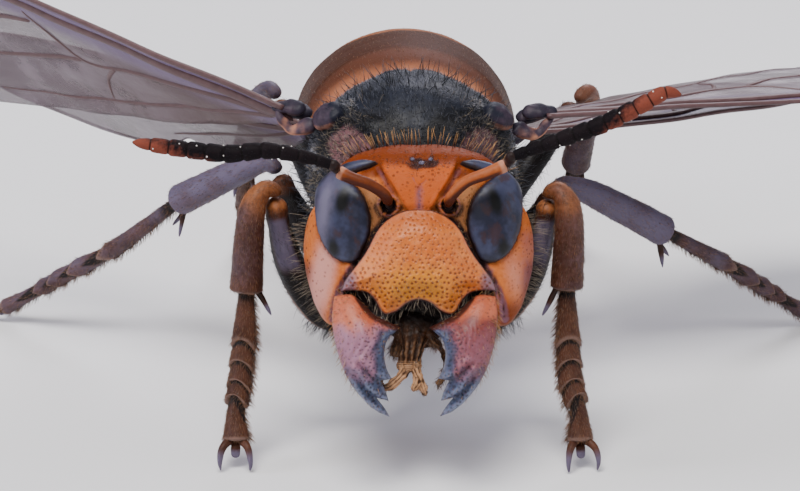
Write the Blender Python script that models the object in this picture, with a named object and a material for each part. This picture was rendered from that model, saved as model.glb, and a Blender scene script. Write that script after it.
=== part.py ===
"""A life-size asian giant hornet (a queen) standing on its six feet with its wings spread.

It faces -Y with +Z up, and the floor is z = 0. Every number in a table below is in
millimetres: x and y are counted from the middle of the head, z from the floor. Left and
right are the hornet's own, so its left side is at +X.
"""

from math import asin, atan2, cos, hypot, pi, radians, sin, sqrt

import bmesh
import bpy
from mathutils import Matrix, Vector
from mathutils.geometry import delaunay_2d_cdt

# Driving dimensions, in millimetres unless named otherwise.
METRES = 0.001  # the pieces are built in millimetres and scaled at the end
GAP = 0.3  # room kept between two pieces that meet
MERGE = 0.001  # vertices this close are one
SLIVER = 0.012  # a cut's vertices this close are merged
HEAD_AT = (-0.39, -19.06)  # the head's middle in x and y, from the point under the middle of the whole
HEAD_HEIGHT = 10.8
HEAD_PITCH = radians(15)  # the face looks up by this much
HEAD_FRONT = 2.45  # depth of the head ahead of its middle
HEAD_BACK = 3.0
HEAD_SQUARE = 2.6  # 2 is a ball, more is boxier
WING_LENGTH = 36.0
HINDWING_LENGTH = 23.0
WING_THICKNESS = 0.5
WING_CHORD = 10.0  # across the wing where it is widest
CAMBER = 0.35  # how far its middle is arched up
WING_SPACING = 3.2  # between the points of the membrane
VEIN_WIDTH = 0.62
VEIN_HEIGHT = 0.28
SIDES = {"left": 1, "right": -1}
NUDGES = 8  # how often a cut that leaves slivers is tried again with its cutter moved a little
NUDGE = Vector((0.007, 0.011, 0.005))
WHOLE_FORMS = {}  # each piece's mesh as it was before anything was cut from it


def at(x, y, z):
    """The place of a point of the tables, from the point under the middle of the whole."""
    return Vector((x + HEAD_AT[0], y + HEAD_AT[1], z))


def of_head(x, y, z):
    """The place of a point given across the face, back from it and up it, from the head's middle."""
    back = y * cos(HEAD_PITCH) + z * sin(HEAD_PITCH)
    up = z * cos(HEAD_PITCH) - y * sin(HEAD_PITCH)
    return at(x, back, HEAD_HEIGHT + up)


def smooth_step(low, high, value):
    share = min(1.0, max(0.0, (value - low) / (high - low)))
    return share * share * (3 - 2 * share)


def read_table(table, where):
    """A smooth value between the (place, value) pairs of a table."""
    if where <= table[0][0]:
        return table[0][1]
    if where >= table[-1][0]:
        return table[-1][1]
    i = next(k for k in range(len(table) - 1) if table[k + 1][0] >= where)
    (x0, y0), (x1, y1) = table[i], table[i + 1]

    def slope(k):
        if k in (0, len(table) - 1):
            j = min(k, len(table) - 2)
            return (table[j + 1][1] - table[j][1]) / (table[j + 1][0] - table[j][0])
        return (table[k + 1][1] - table[k - 1][1]) / (table[k + 1][0] - table[k - 1][0])

    width = x1 - x0
    t = (where - x0) / width
    hermite = (2 * t**3 - 3 * t**2 + 1, t**3 - 2 * t**2 + t, 3 * t**2 - 2 * t**3, t**3 - t**2)
    return hermite[0] * y0 + hermite[2] * y1 + (hermite[1] * slope(i) + hermite[3] * slope(i + 1)) * width


def path_point(points, share):
    """A point on the smooth path through points, share running from 0 to 1 along it."""
    lengths = [0.0]
    for a, b in zip(points, points[1:]):
        lengths.append(lengths[-1] + (Vector(b) - Vector(a)).length)
    where = share * lengths[-1]
    return Vector([read_table([(s, p[k]) for s, p in zip(lengths, points)], where) for k in range(3)])


def edge_distance(point, outline):
    """How far a point is from the nearest side of a closed outline."""
    nearest = 1e9
    for (ax, ay), (bx, by) in zip(outline, outline[1:] + outline[:1]):
        ux, uy = bx - ax, by - ay
        along = ((point[0] - ax) * ux + (point[1] - ay) * uy) / max(ux * ux + uy * uy, 1e-12)
        along = min(1.0, max(0.0, along))
        nearest = min(nearest, hypot(point[0] - ax - along * ux, point[1] - ay - along * uy))
    return nearest


def inside(point, outline):
    crossings = 0
    for (ax, ay), (bx, by) in zip(outline, outline[1:] + outline[:1]):
        if (ay > point[1]) != (by > point[1]) and point[0] < ax + (point[1] - ay) * (bx - ax) / (by - ay):
            crossings += 1
    return crossings % 2 == 1


def mirrored(half):
    """A whole outline from its x >= 0 half, whose first and last points are on x = 0."""
    return half + [(-x, z) for x, z in reversed(half[1:-1])]


def colour_of(name, rgb, roughness, alpha=1.0):
    material = bpy.data.materials.get(name) or bpy.data.materials.new(name)
    material.use_nodes = True
    shader = material.node_tree.nodes["Principled BSDF"]
    shader.inputs["Base Color"].default_value = (*rgb, 1.0)
    shader.inputs["Roughness"].default_value = roughness
    shader.inputs["Metallic"].default_value = 0.0
    shader.inputs["Alpha"].default_value = alpha
    material.diffuse_color = (*rgb, alpha)
    return material


def make_object(name, mesh, material, collection):
    data = bpy.data.meshes.new(name)
    mesh.to_mesh(data)
    mesh.free()
    data.shade_smooth()
    data.set_sharp_from_angle(angle=radians(50))
    data.materials.append(material)
    made = bpy.data.objects.new(name, data)
    collection.objects.link(made)
    WHOLE_FORMS[name] = data.copy()
    return made


def close_up(mesh):
    """Merges the seam and the poles, fills open ends and turns the faces outwards."""
    bmesh.ops.remove_doubles(mesh, verts=mesh.verts, dist=MERGE)
    open_edges = [edge for edge in mesh.edges if edge.is_boundary]
    if open_edges:
        bmesh.ops.holes_fill(mesh, edges=open_edges, sides=0)
    bmesh.ops.triangulate(mesh, faces=mesh.faces)
    bmesh.ops.recalc_face_normals(mesh, faces=mesh.faces)


def loft(name, rings, sides, material, collection):
    """A closed tube through rings, each (centre, across, up, half width, half height)."""
    mesh = bmesh.new()
    last = len(rings) - 1
    bmesh.ops.create_grid(mesh, x_segments=sides, y_segments=last, size=0.5)
    for vert in mesh.verts:
        centre, across, up, half_width, half_height = rings[round((vert.co.y + 0.5) * last)]
        angle = 2 * pi * (vert.co.x + 0.5)
        vert.co = centre + across * cos(angle) * half_width + up * sin(angle) * half_height
    close_up(mesh)
    return make_object(name, mesh, material, collection)


def limb(name, points, girth, sides, material, collection, flat=1.0, up=(0, 0, 1)):
    """A tube along a smooth path, its half width read from the (share along, half width) pairs of girth."""
    rings = []
    across = None
    for share, half in girth:
        ahead = path_point(points, min(1.0, share + 0.01))
        behind = path_point(points, max(0.0, share - 0.01))
        along = (ahead - behind).normalized()
        if across is None:
            across = along.cross(Vector(up))
        across = (across - along * across.dot(along)).normalized()
        rings.append((at(*path_point(points, share)), across, across.cross(along), half, half * flat))
    return loft(name, rings, sides, material, collection)


def plate(name, outline, spacing, front, back, material, collection, ridges=()):
    """A closed plate over a flat outline. Both faces share one triangulation, so they never cross.

    front and back turn a flat point into a place. ridges are lines that the triangles follow.
    """
    count = len(outline)
    points = [Vector(p) for p in outline]
    edges = [(i, (i + 1) % count) for i in range(count)]
    for line in ridges:
        start = len(points)
        points += [Vector(p) for p in line]
        edges += [(start + i, start + i + 1) for i in range(len(line) - 1)]
    columns = int((max(p[0] for p in outline) - min(p[0] for p in outline)) / spacing) + 2
    rows = int((max(p[1] for p in outline) - min(p[1] for p in outline)) / spacing) + 2
    low = (min(p[0] for p in outline), min(p[1] for p in outline))
    for row in range(rows):
        for column in range(columns):
            spot = (low[0] + (column + 0.5 * (row % 2)) * spacing, low[1] + row * spacing)
            clear = all(hypot(spot[0] - q[0], spot[1] - q[1]) > 0.55 * spacing for q in points)
            if clear and inside(spot, outline) and edge_distance(spot, outline) > 0.45 * spacing:
                points.append(Vector(spot))
    flat, _, faces, *_ = delaunay_2d_cdt(points, edges, [list(range(count))], 1, 1e-4)
    mesh = bmesh.new()
    near = [mesh.verts.new(front(p)) for p in flat]
    for face in faces:
        mesh.faces.new([near[i] for i in face])
    mesh.verts.index_update()
    far = bmesh.ops.duplicate(mesh, geom=mesh.verts[:] + mesh.edges[:] + mesh.faces[:])
    for vert, p in zip(near, flat):
        far["vert_map"][vert].co = back(p)
    rim = [edge for edge in mesh.edges if edge.is_boundary]
    bmesh.ops.bridge_loops(mesh, edges=rim)
    close_up(mesh)
    return make_object(name, mesh, material, collection)


def settled(data):
    """The biggest surface of a mesh with its slivers merged, as a bmesh, and whether it is closed."""
    mesh = bmesh.new()
    mesh.from_mesh(data)
    bmesh.ops.triangulate(mesh, faces=mesh.faces)
    bmesh.ops.remove_doubles(mesh, verts=mesh.verts, dist=SLIVER)
    bmesh.ops.dissolve_degenerate(mesh, edges=mesh.edges, dist=0.5 * SLIVER)
    bmesh.ops.triangulate(mesh, faces=mesh.faces)
    mesh.verts.index_update()
    groups, seen = [], set()
    for first in mesh.verts:
        if first.index in seen:
            continue
        group, waiting = [], [first]
        seen.add(first.index)
        while waiting:
            vert = waiting.pop()
            group.append(vert)
            for edge in vert.link_edges:
                other = edge.other_vert(vert)
                if other.index not in seen:
                    seen.add(other.index)
                    waiting.append(other)
        groups.append(group)
    groups.sort(key=len)
    bmesh.ops.delete(mesh, geom=[vert for group in groups[:-1] for vert in group], context="VERTS")
    closed = len(mesh.faces) > 0 and all(edge.is_manifold and edge.is_contiguous for edge in mesh.edges)
    return mesh, closed and all(vert.is_manifold for vert in mesh.verts)


def apply_boolean(made, operation, others):
    """Joins others to an object, or cuts them from it, and removes them."""
    helpers = bpy.data.collections.new(made.name + "_tools")
    bpy.context.scene.collection.children.link(helpers)
    for other in others:
        for holder in other.users_collection:
            holder.objects.unlink(other)
        helpers.objects.link(other)
    boolean = made.modifiers.new("boolean", "BOOLEAN")
    boolean.operation = operation
    boolean.operand_type = "COLLECTION"
    boolean.collection = helpers
    for attempt in range(NUDGES):
        boolean.solver = ("EXACT", "MANIFOLD")[attempt % 2]
        bpy.context.view_layer.update()
        graph = bpy.context.evaluated_depsgraph_get()
        mesh, closed = settled(bpy.data.meshes.new_from_object(made.evaluated_get(graph)))
        if closed:
            break
        for other in others:
            other.data.transform(Matrix.Translation(NUDGE))
    made.modifiers.clear()
    mesh.to_mesh(made.data)
    mesh.free()
    made.data.shade_smooth()
    made.data.set_sharp_from_angle(angle=radians(50))
    for other in others:
        bpy.data.objects.remove(other)
    bpy.data.collections.remove(helpers)
    return made


def fuse(made, *pieces):
    return apply_boolean(made, "UNION", pieces)


def swollen(other, gap):
    """A copy of an object as it was before any cut, its surface moved out by the gap."""
    mesh = bmesh.new()
    mesh.from_mesh(WHOLE_FORMS.get(other.name, other.data))
    mesh.normal_update()
    moves = [(vert, vert.normal * min(vert.calc_shell_factor(), 1.6) * gap) for vert in mesh.verts]
    for vert, move in moves:
        vert.co += move
    copy = bpy.data.objects.new(other.name + "_room", bpy.data.meshes.new(other.name + "_room"))
    mesh.to_mesh(copy.data)
    mesh.free()
    return copy


def make_room(made, *neighbours, gap=GAP):
    """Cuts each neighbour, and the gap round it, out of an object."""
    for other in neighbours:
        apply_boolean(made, "DIFFERENCE", [swollen(other, gap)])
    return made


def keep_side(made, point, normal):
    """Cuts an object flat and keeps what lies on the side that the normal points to."""
    mesh = bmesh.new()
    mesh.from_mesh(made.data)
    geometry = mesh.verts[:] + mesh.edges[:] + mesh.faces[:]
    bmesh.ops.bisect_plane(mesh, geom=geometry, plane_co=point, plane_no=normal, clear_inner=True)
    close_up(mesh)
    mesh.to_mesh(made.data)
    mesh.free()
    return made


def copy_of(made, name, material, collection):
    copy = bpy.data.objects.new(name, made.data.copy())
    copy.data.materials.clear()
    copy.data.materials.append(material)
    collection.objects.link(copy)
    return copy


# The head. Its outline seen from the front, as (across, up) from its middle.
HEAD_OUTLINE = [
    (0.0, 4.95), (1.9, 4.85), (3.3, 4.35), (4.35, 3.35), (4.95, 2.2), (5.35, 1.0), (5.44, 0.0),
    (5.35, -1.0), (5.1, -2.0), (4.75, -2.9), (4.25, -3.5), (3.5, -3.6), (2.5, -3.35), (1.2, -3.1),
    (0.0, -3.0),
]
CLYPEUS_OUTLINE = [
    (0.0, 1.80), (0.75, 1.90), (1.5, 1.75), (2.0, 1.15), (2.35, 0.3), (2.62, -0.15), (3.0, -0.7),
    (3.45, -1.3), (3.64, -1.84), (3.1, -1.75), (2.5, -1.84), (2.1, -2.2), (1.85, -2.7), (1.55, -2.93),
    (1.0, -2.74), (0.55, -2.38), (0.0, -2.2),
]
CLYPEUS_FRONT = 2.35  # how far its rim, at least, is ahead of the head's middle
CLYPEUS_DOME = 0.75
CLYPEUS_SWELL = 0.45
CLYPEUS_BACK = 1.75
FACE_SPACING = 0.55  # between the points of the plates of the face
# An eye's outline on the face. Where it passes the head's outline, the eye goes on round the side.
EYE_OUTLINE = [
    (3.0, -0.45), (3.5, -0.45), (4.0, -0.22), (4.38, 0.14), (4.64, 0.62), (4.80, 1.14), (4.88, 1.7),
    (4.90, 2.3), (4.86, 2.85), (4.68, 3.35), (4.3, 3.85), (3.8, 4.25), (3.2, 4.42), (2.55, 4.42),
    (1.95, 4.26), (2.2, 4.02), (2.6, 3.85), (3.05, 3.7), (3.5, 3.48), (3.3, 3.2), (2.92, 2.9), (2.6, 2.5),
    (2.38, 1.95), (2.28, 1.35), (2.33, 0.85), (2.48, 0.45), (2.64, 0.08), (2.78, -0.22),
]
EYE_RIM = 0.05  # its rim stands this far out of the head
EYE_BULGE = 0.42
EYE_DEPTH = 0.75
EYE_SLOPE = 0.16  # how far in from the rim the bulge is full, on the head's map
EYE_SPACING = 0.075
PAST_EDGE = 2.5  # quarter turns round the side for each head's radius past its outline
SOCKET_AT = (1.38, 2.24)
SOCKET_RADIUS = 0.48
# The half width of the raised shield between the feelers, up the face.
FRONS_EDGE = [(-3.0, 0.62), (1.9, 0.62), (3.6, 1.5), (5.2, 1.9)]
SHIELD_HEIGHT = 0.45
PIT_DEPTH = 0.45


def head_radius(angle):
    """How far the head's outline is from its middle, at an angle from straight across."""
    table = sorted((atan2(z, x), hypot(x, z)) for x, z in HEAD_OUTLINE)
    if abs(angle) > pi / 2:
        angle = (pi if angle > 0 else -pi) - angle
    return read_table(table, angle)


def head_point(across, up, out=0.0):
    """A point of the head's surface by its place on the head's map, moved out by a distance."""
    turn = hypot(across, up) * pi / 2
    angle = atan2(up, across)
    power = 2 / HEAD_SQUARE
    reach = head_radius(angle) * max(0.0, sin(turn)) ** power
    depth = abs(cos(turn)) ** power
    y = -HEAD_FRONT * depth if cos(turn) > 0 else HEAD_BACK * depth
    x, z = reach * cos(angle), reach * sin(angle)
    outward = Vector((x / 28, y / 8, z / 22)).normalized()
    return Vector((x, y, z)) + outward * out


def on_head_map(x, z):
    """The place on the head's map of a point of the face."""
    angle = atan2(z, x)
    share = hypot(x, z) / head_radius(angle)
    turn = asin(min(1.0, share) ** (HEAD_SQUARE / 2)) * 2 / pi + PAST_EDGE * max(0.0, share - 1)
    return turn * cos(angle), turn * sin(angle)


def face_relief(x, z):
    """How far the front of the head stands out over the plain form at a place on the face."""
    shield = 1 - smooth_step(-0.25, 0.25, abs(x) - read_table(FRONS_EDGE, z))
    shield *= smooth_step(1.2, 2.0, z) * (1 - smooth_step(4.2, 4.9, z))
    socket = hypot(abs(x) - SOCKET_AT[0], z - SOCKET_AT[1])
    pit = 1 - smooth_step(0.5 * SOCKET_RADIUS, 1.3 * SOCKET_RADIUS, socket)
    return SHIELD_HEIGHT * shield - PIT_DEPTH * pit


def make_head(material, collection):
    mesh = bmesh.new()
    bmesh.ops.create_icosphere(mesh, subdivisions=4, radius=1.0)
    for vert in mesh.verts:
        turn = 2 / pi * atan2(hypot(vert.co.x, vert.co.z), -vert.co.y)
        angle = atan2(vert.co.z, vert.co.x)
        place = head_point(turn * cos(angle), turn * sin(angle))
        if vert.co.y < 0:
            place.y -= face_relief(place.x, place.z)
        vert.co = of_head(*place)
    close_up(mesh)
    return make_object("head", mesh, material, collection)


def make_eye(side, material, collection):
    outline = [on_head_map(side * x, z) for x, z in EYE_OUTLINE]

    def front(p):
        share = min(1.0, edge_distance(p, outline) / EYE_SLOPE)
        return of_head(*head_point(p[0], p[1], EYE_RIM + EYE_BULGE * sqrt(1 - (1 - share) ** 2)))

    def back(p):
        return of_head(*head_point(p[0], p[1], -EYE_DEPTH))

    name = "eye_" + ("left" if side > 0 else "right")
    return plate(name, outline, EYE_SPACING, front, back, material, collection)


def clypeus_front(x, z, distance):
    """How far ahead of the head's middle the clypeus stands, distance being that to its edge."""
    dome = 1 - (x / 4.6) ** 2 - ((z + 0.6) / 5.2) ** 2
    swell = smooth_step(0.0, 0.7, distance)
    lower_slope = 0.12 * max(0.0, -z - 1.2)
    return CLYPEUS_FRONT + CLYPEUS_DOME * dome + CLYPEUS_SWELL * swell - lower_slope


def make_clypeus(material, collection):
    outline = mirrored(CLYPEUS_OUTLINE)

    def front(p):
        return of_head(p[0], -clypeus_front(p[0], p[1], edge_distance(p, outline)), p[1])

    def back(p):
        return of_head(p[0], -CLYPEUS_BACK, p[1])

    return plate("clypeus", outline, FACE_SPACING, front, back, material, collection)


# A mandible's outline on the face, as (out from the middle, up), with its teeth on the inner edge.
MANDIBLE_OUTLINE = [
    (3.95, -2.05), (4.05, -2.75), (4.02, -3.5), (3.85, -4.4), (3.55, -5.35), (3.1, -6.2), (2.45, -7.0),
    (1.9, -7.45), (1.38, -7.68), (1.62, -7.25), (2.0, -6.75), (1.42, -6.92), (1.55, -6.45), (1.8, -5.95),
    (1.28, -5.86), (1.5, -5.4), (1.62, -4.7), (1.45, -4.0), (0.85, -3.5), (1.45, -3.2), (2.1, -2.85),
    (2.65, -2.3), (3.2, -1.95),
]
MANDIBLE_SHIFT = {1: -0.38, -1: 0.0}  # the left one is bitten further in
MANDIBLE_EDGE = 0.16  # half its thickness at the rim, and how much more it has inside
MANDIBLE_BELLY = 0.72


def make_mandible(side, material, collection):
    outline = [(side * (x + MANDIBLE_SHIFT[side]), z) for x, z in MANDIBLE_OUTLINE]

    def half_thickness(p):
        share = min(1.0, edge_distance(p, outline) / 1.0)
        return MANDIBLE_EDGE + MANDIBLE_BELLY * sqrt(1 - (1 - share) ** 2)

    def middle(p):
        return -2.5 - 0.55 * sin(min(1.0, (-2.0 - p[1]) / 5.6) * pi) + 0.10 * (abs(p[0]) - 2.6) ** 2

    def front(p):
        return of_head(p[0], middle(p) - half_thickness(p), p[1])

    def back(p):
        return of_head(p[0], middle(p) + half_thickness(p), p[1])

    name = "mandible_" + ("left" if side > 0 else "right")
    return plate(name, outline, FACE_SPACING, front, back, material, collection)


# The mouthparts, as (across, back, up) from the head's middle, and half widths.
MOUTH_STEM = [(-0.1, -1.2, -3.0), (-0.2, -1.6, -4.0), (-0.35, -1.9, -5.4)]
MOUTH_STEM_GIRTH = [(0, 0.75), (0.4, 0.8), (0.75, 0.6), (1, 0.45)]
MOUTH_ARMS = [
    [(-0.50, -1.75, -4.9), (-0.85, -2.0, -5.8), (-1.50, -2.15, -6.35)],
    [(-0.18, -1.80, -4.8), (0.02, -2.0, -5.8), (0.28, -2.1, -6.7)],
    [(-0.55, -1.5, -3.7), (-1.0, -1.65, -4.45), (-1.15, -1.75, -5.2)],
    [(0.25, -1.45, -3.65), (0.62, -1.6, -4.25), (0.85, -1.7, -4.75)],
]
MOUTH_ARM_GIRTH = [(0, 0.3), (0.5, 0.32), (0.88, 0.24), (1, 0.12)]


def head_limb(name, points, girth, sides, material, collection, flat=1.0):
    """A limb whose path is given in the head's own directions."""
    placed = [of_head(*p) - Vector((HEAD_AT[0], HEAD_AT[1], 0)) for p in points]
    return limb(name, placed, girth, sides, material, collection, flat, up=(0, 1, 0.2))


def make_mouthparts(material, collection):
    stem = head_limb("mouthparts", MOUTH_STEM, MOUTH_STEM_GIRTH, 8, material, collection, 0.7)
    arms = [
        head_limb("mouth_arm_%d" % i, points, MOUTH_ARM_GIRTH, 6, material, collection, 0.9)
        for i, points in enumerate(MOUTH_ARMS)
    ]
    return fuse(stem, *arms)


# The antennae: each scape in the head's directions, each flagellum in the tables' own.
SCAPES = {
    "right": [
        (-1.40, -2.55, 2.30), (-1.62, -3.1, 2.75), (-2.35, -3.45, 3.25), (-3.2, -3.45, 3.55),
        (-3.8, -3.3, 3.85),
    ],
    "left": [
        (1.36, -2.55, 2.20), (1.50, -3.1, 2.65), (2.20, -3.45, 3.35), (3.2, -3.45, 3.75),
        (4.1, -3.3, 4.15),
    ],
}
SCAPE_GIRTH = [
    (0, 0.22), (0.04, 0.30), (0.10, 0.22), (0.2, 0.25), (0.5, 0.27), (0.8, 0.29), (0.95, 0.30), (1, 0.22),
]
FLAGELLA = {
    "right": [
        (-3.95, -3.0, 15.9), (-5.2, -3.1, 16.3), (-7.0, -3.2, 16.65), (-8.8, -3.2, 16.5), (-10.9, -3.1, 16.7),
        (-13.2, -3.0, 17.0),
    ],
    "left": [
        (4.25, -3.0, 16.3), (6.2, -3.1, 17.05), (8.5, -3.2, 17.95), (10.4, -3.2, 18.95), (11.3, -3.1, 19.4),
        (12.0, -3.0, 19.25),
    ],
}
FLAGELLUM_SEGMENTS = 11
FLAGELLUM_GIRTH = [(0, 0.26), (0.06, 0.27), (0.25, 0.36), (0.5, 0.42), (0.75, 0.40), (0.9, 0.33), (1, 0.15)]


def segmented_girth(table, count, pinch):
    """A limb's girth with a waist where each of its segments meets the next."""
    girth = []
    for i in range(count):
        girth.append(((i + 0.03) / count, read_table(table, i / count) * pinch))
        girth.append(((i + 0.25) / count, read_table(table, (i + 0.25) / count)))
        girth.append(((i + 0.92) / count, read_table(table, (i + 0.92) / count)))
    return girth


def make_antennae(material_scape, material_flagellum, head, collection):
    for side, points in SCAPES.items():
        scape = head_limb("antenna_%s_scape" % side, points, SCAPE_GIRTH, 8, material_scape, collection)
        make_room(scape, head, gap=0.2)
        girth = segmented_girth(FLAGELLUM_GIRTH, FLAGELLUM_SEGMENTS, 0.84)
        name = "antenna_%s_flagellum" % side
        flagellum = limb(name, FLAGELLA[side], girth, 8, material_flagellum, collection)
        make_room(flagellum, scape)


# The thorax: (back, half width, half height, height of the middle) of its rings.
THORAX_RINGS = [
    (3.1, 1.25, 1.25, 10.9), (3.7, 2.1, 2.2, 11.1), (4.4, 3.3, 3.2, 11.5), (5.3, 4.3, 4.15, 11.85),
    (6.6, 4.95, 4.8, 12.1), (8.2, 5.2, 4.95, 12.15), (10.0, 5.25, 4.85, 11.95), (11.8, 5.1, 4.6, 11.6),
    (13.4, 4.75, 4.2, 11.2), (14.8, 4.2, 3.7, 10.8), (16.2, 3.4, 3.0, 10.4), (17.4, 2.3, 2.2, 10.0),
    (18.3, 1.2, 1.2, 9.8),
]
# Where the thorax is cut, each as (across, back, up) points of a plane.
SHOULDER_CUT = [(0.0, 4.7, 16.5), (4.9, 7.1, 15.0), (3.2, 4.9, 9.0)]
PRONOTUM_END = 9.5
PROPODEUM_CUT = [(0.0, 14.3, 15.0), (4.0, 14.3, 15.0), (0.0, 12.2, 7.5)]


def body_x(back):
    """The body's middle line leans a little to the hornet's right, away from the head's."""
    return -0.1 - 0.02 * back


def cut_plane(points, side, back=True):
    """A point and the normal of a cut, half the gap in, towards the back or the front."""
    a, b, c = (at(body_x(p[1]) + side * p[0], p[1], p[2]) for p in points)
    normal = (b - a).cross(c - a).normalized()
    if (normal.y > 0) != back:
        normal = -normal
    return a + normal * GAP / 2, normal


def make_thorax(materials, head, collection):
    rings = []
    for back, half_width, half_height, height in THORAX_RINGS:
        centre = at(body_x(back), back, height)
        rings.append((centre, Vector((1, 0, 0)), Vector((0, 0, 1)), half_width, half_height))
    whole = loft("thorax_whole", rings, 24, materials["black"], collection)
    made = {
        "pronotum": copy_of(whole, "pronotum", materials["brown"], collection),
        "mesothorax": copy_of(whole, "mesothorax", materials["black"], collection),
        "propodeum": copy_of(whole, "propodeum", materials["black"], collection),
    }
    bpy.data.objects.remove(whole)
    for side in (1, -1):
        keep_side(made["mesothorax"], *cut_plane(SHOULDER_CUT, side))
    keep_side(made["mesothorax"], *cut_plane(PROPODEUM_CUT, 1, False))
    keep_side(made["propodeum"], *cut_plane(PROPODEUM_CUT, 1))
    keep_side(made["pronotum"], at(0, PRONOTUM_END, 0), Vector((0, -1, 0)))
    make_room(made["pronotum"], head, made["mesothorax"])
    scutellum = limb(
        "scutellum",
        [(body_x(12), 10.9, 16.1), (body_x(13), 12.6, 15.7), (body_x(14), 14.4, 14.4)],
        [(0, 0.5), (0.12, 1.3), (0.4, 1.85), (0.7, 1.7), (0.92, 1.0), (1, 0.5)],
        12,
        materials["black"],
        collection,
        flat=0.5,
    )
    make_room(scutellum, made["mesothorax"], made["propodeum"])
    made["scutellum"] = scutellum
    return made


def make_tegulae(material, thorax, collection):
    for side, sign in SIDES.items():
        x = body_x(7) + sign * 4.95
        points = [(x, 6.2, 15.35), (x + sign * 0.4, 7.2, 15.5), (x + sign * 0.35, 8.5, 15.25)]
        girth = [(0, 0.25), (0.15, 0.6), (0.5, 0.85), (0.85, 0.6), (1, 0.25)]
        tegula = limb("tegula_" + side, points, girth, 10, material, collection, flat=0.75)
        make_room(tegula, thorax["mesothorax"], thorax["pronotum"])


# The gaster: its middle line, its girth in full, and where one segment ends and the next begins.
GASTER_LINE = [
    (-0.45, 18.75, 9.7), (-0.5, 21.0, 9.35), (-0.6, 26.0, 8.75), (-0.75, 33.0, 7.5), (-0.85, 38.5, 6.1),
    (-0.9, 43.2, 4.6),
]
GASTER_LENGTH = 25.3  # along that line
GASTER_GIRTH = [
    (0.0, 0.85), (0.03, 1.2), (0.06, 2.9), (0.10, 4.4), (0.15, 5.35), (0.215, 5.85), (0.32, 6.1),
    (0.43, 6.15), (0.52, 5.95), (0.60, 5.6), (0.68, 5.0), (0.76, 4.2), (0.85, 3.1), (0.93, 1.9),
    (0.98, 0.9), (1.0, 0.35),
]
GASTER_CUTS = [0.0, 0.215, 0.43, 0.60, 0.74, 0.865, 1.0]
GASTER_LIP = 0.12  # each segment's hind rim stands this much over the next one
GASTER_FLAT = 0.93
GASTER_RINGS = [9, 5, 5, 5, 5, 5]


def make_gaster(materials, collection):
    half_gap = GAP / 2 / GASTER_LENGTH
    last = len(GASTER_RINGS) - 1
    for i, count in enumerate(GASTER_RINGS):
        start = GASTER_CUTS[i] + (half_gap if i > 0 else 0)
        end = GASTER_CUTS[i + 1] - (half_gap if i < last else 0)
        girth = []
        for k in range(count):
            share = start + (end - start) * k / (count - 1)
            lip = GASTER_LIP * k / (count - 1) if i < last else 0
            girth.append((share, read_table(GASTER_GIRTH, share) - GASTER_LIP / 2 + lip))
        colour = materials["orange" if i in (0, last) else "banded"]
        limb("gaster_%d" % (i + 1), GASTER_LINE, girth, 22, colour, collection, flat=GASTER_FLAT)


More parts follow.
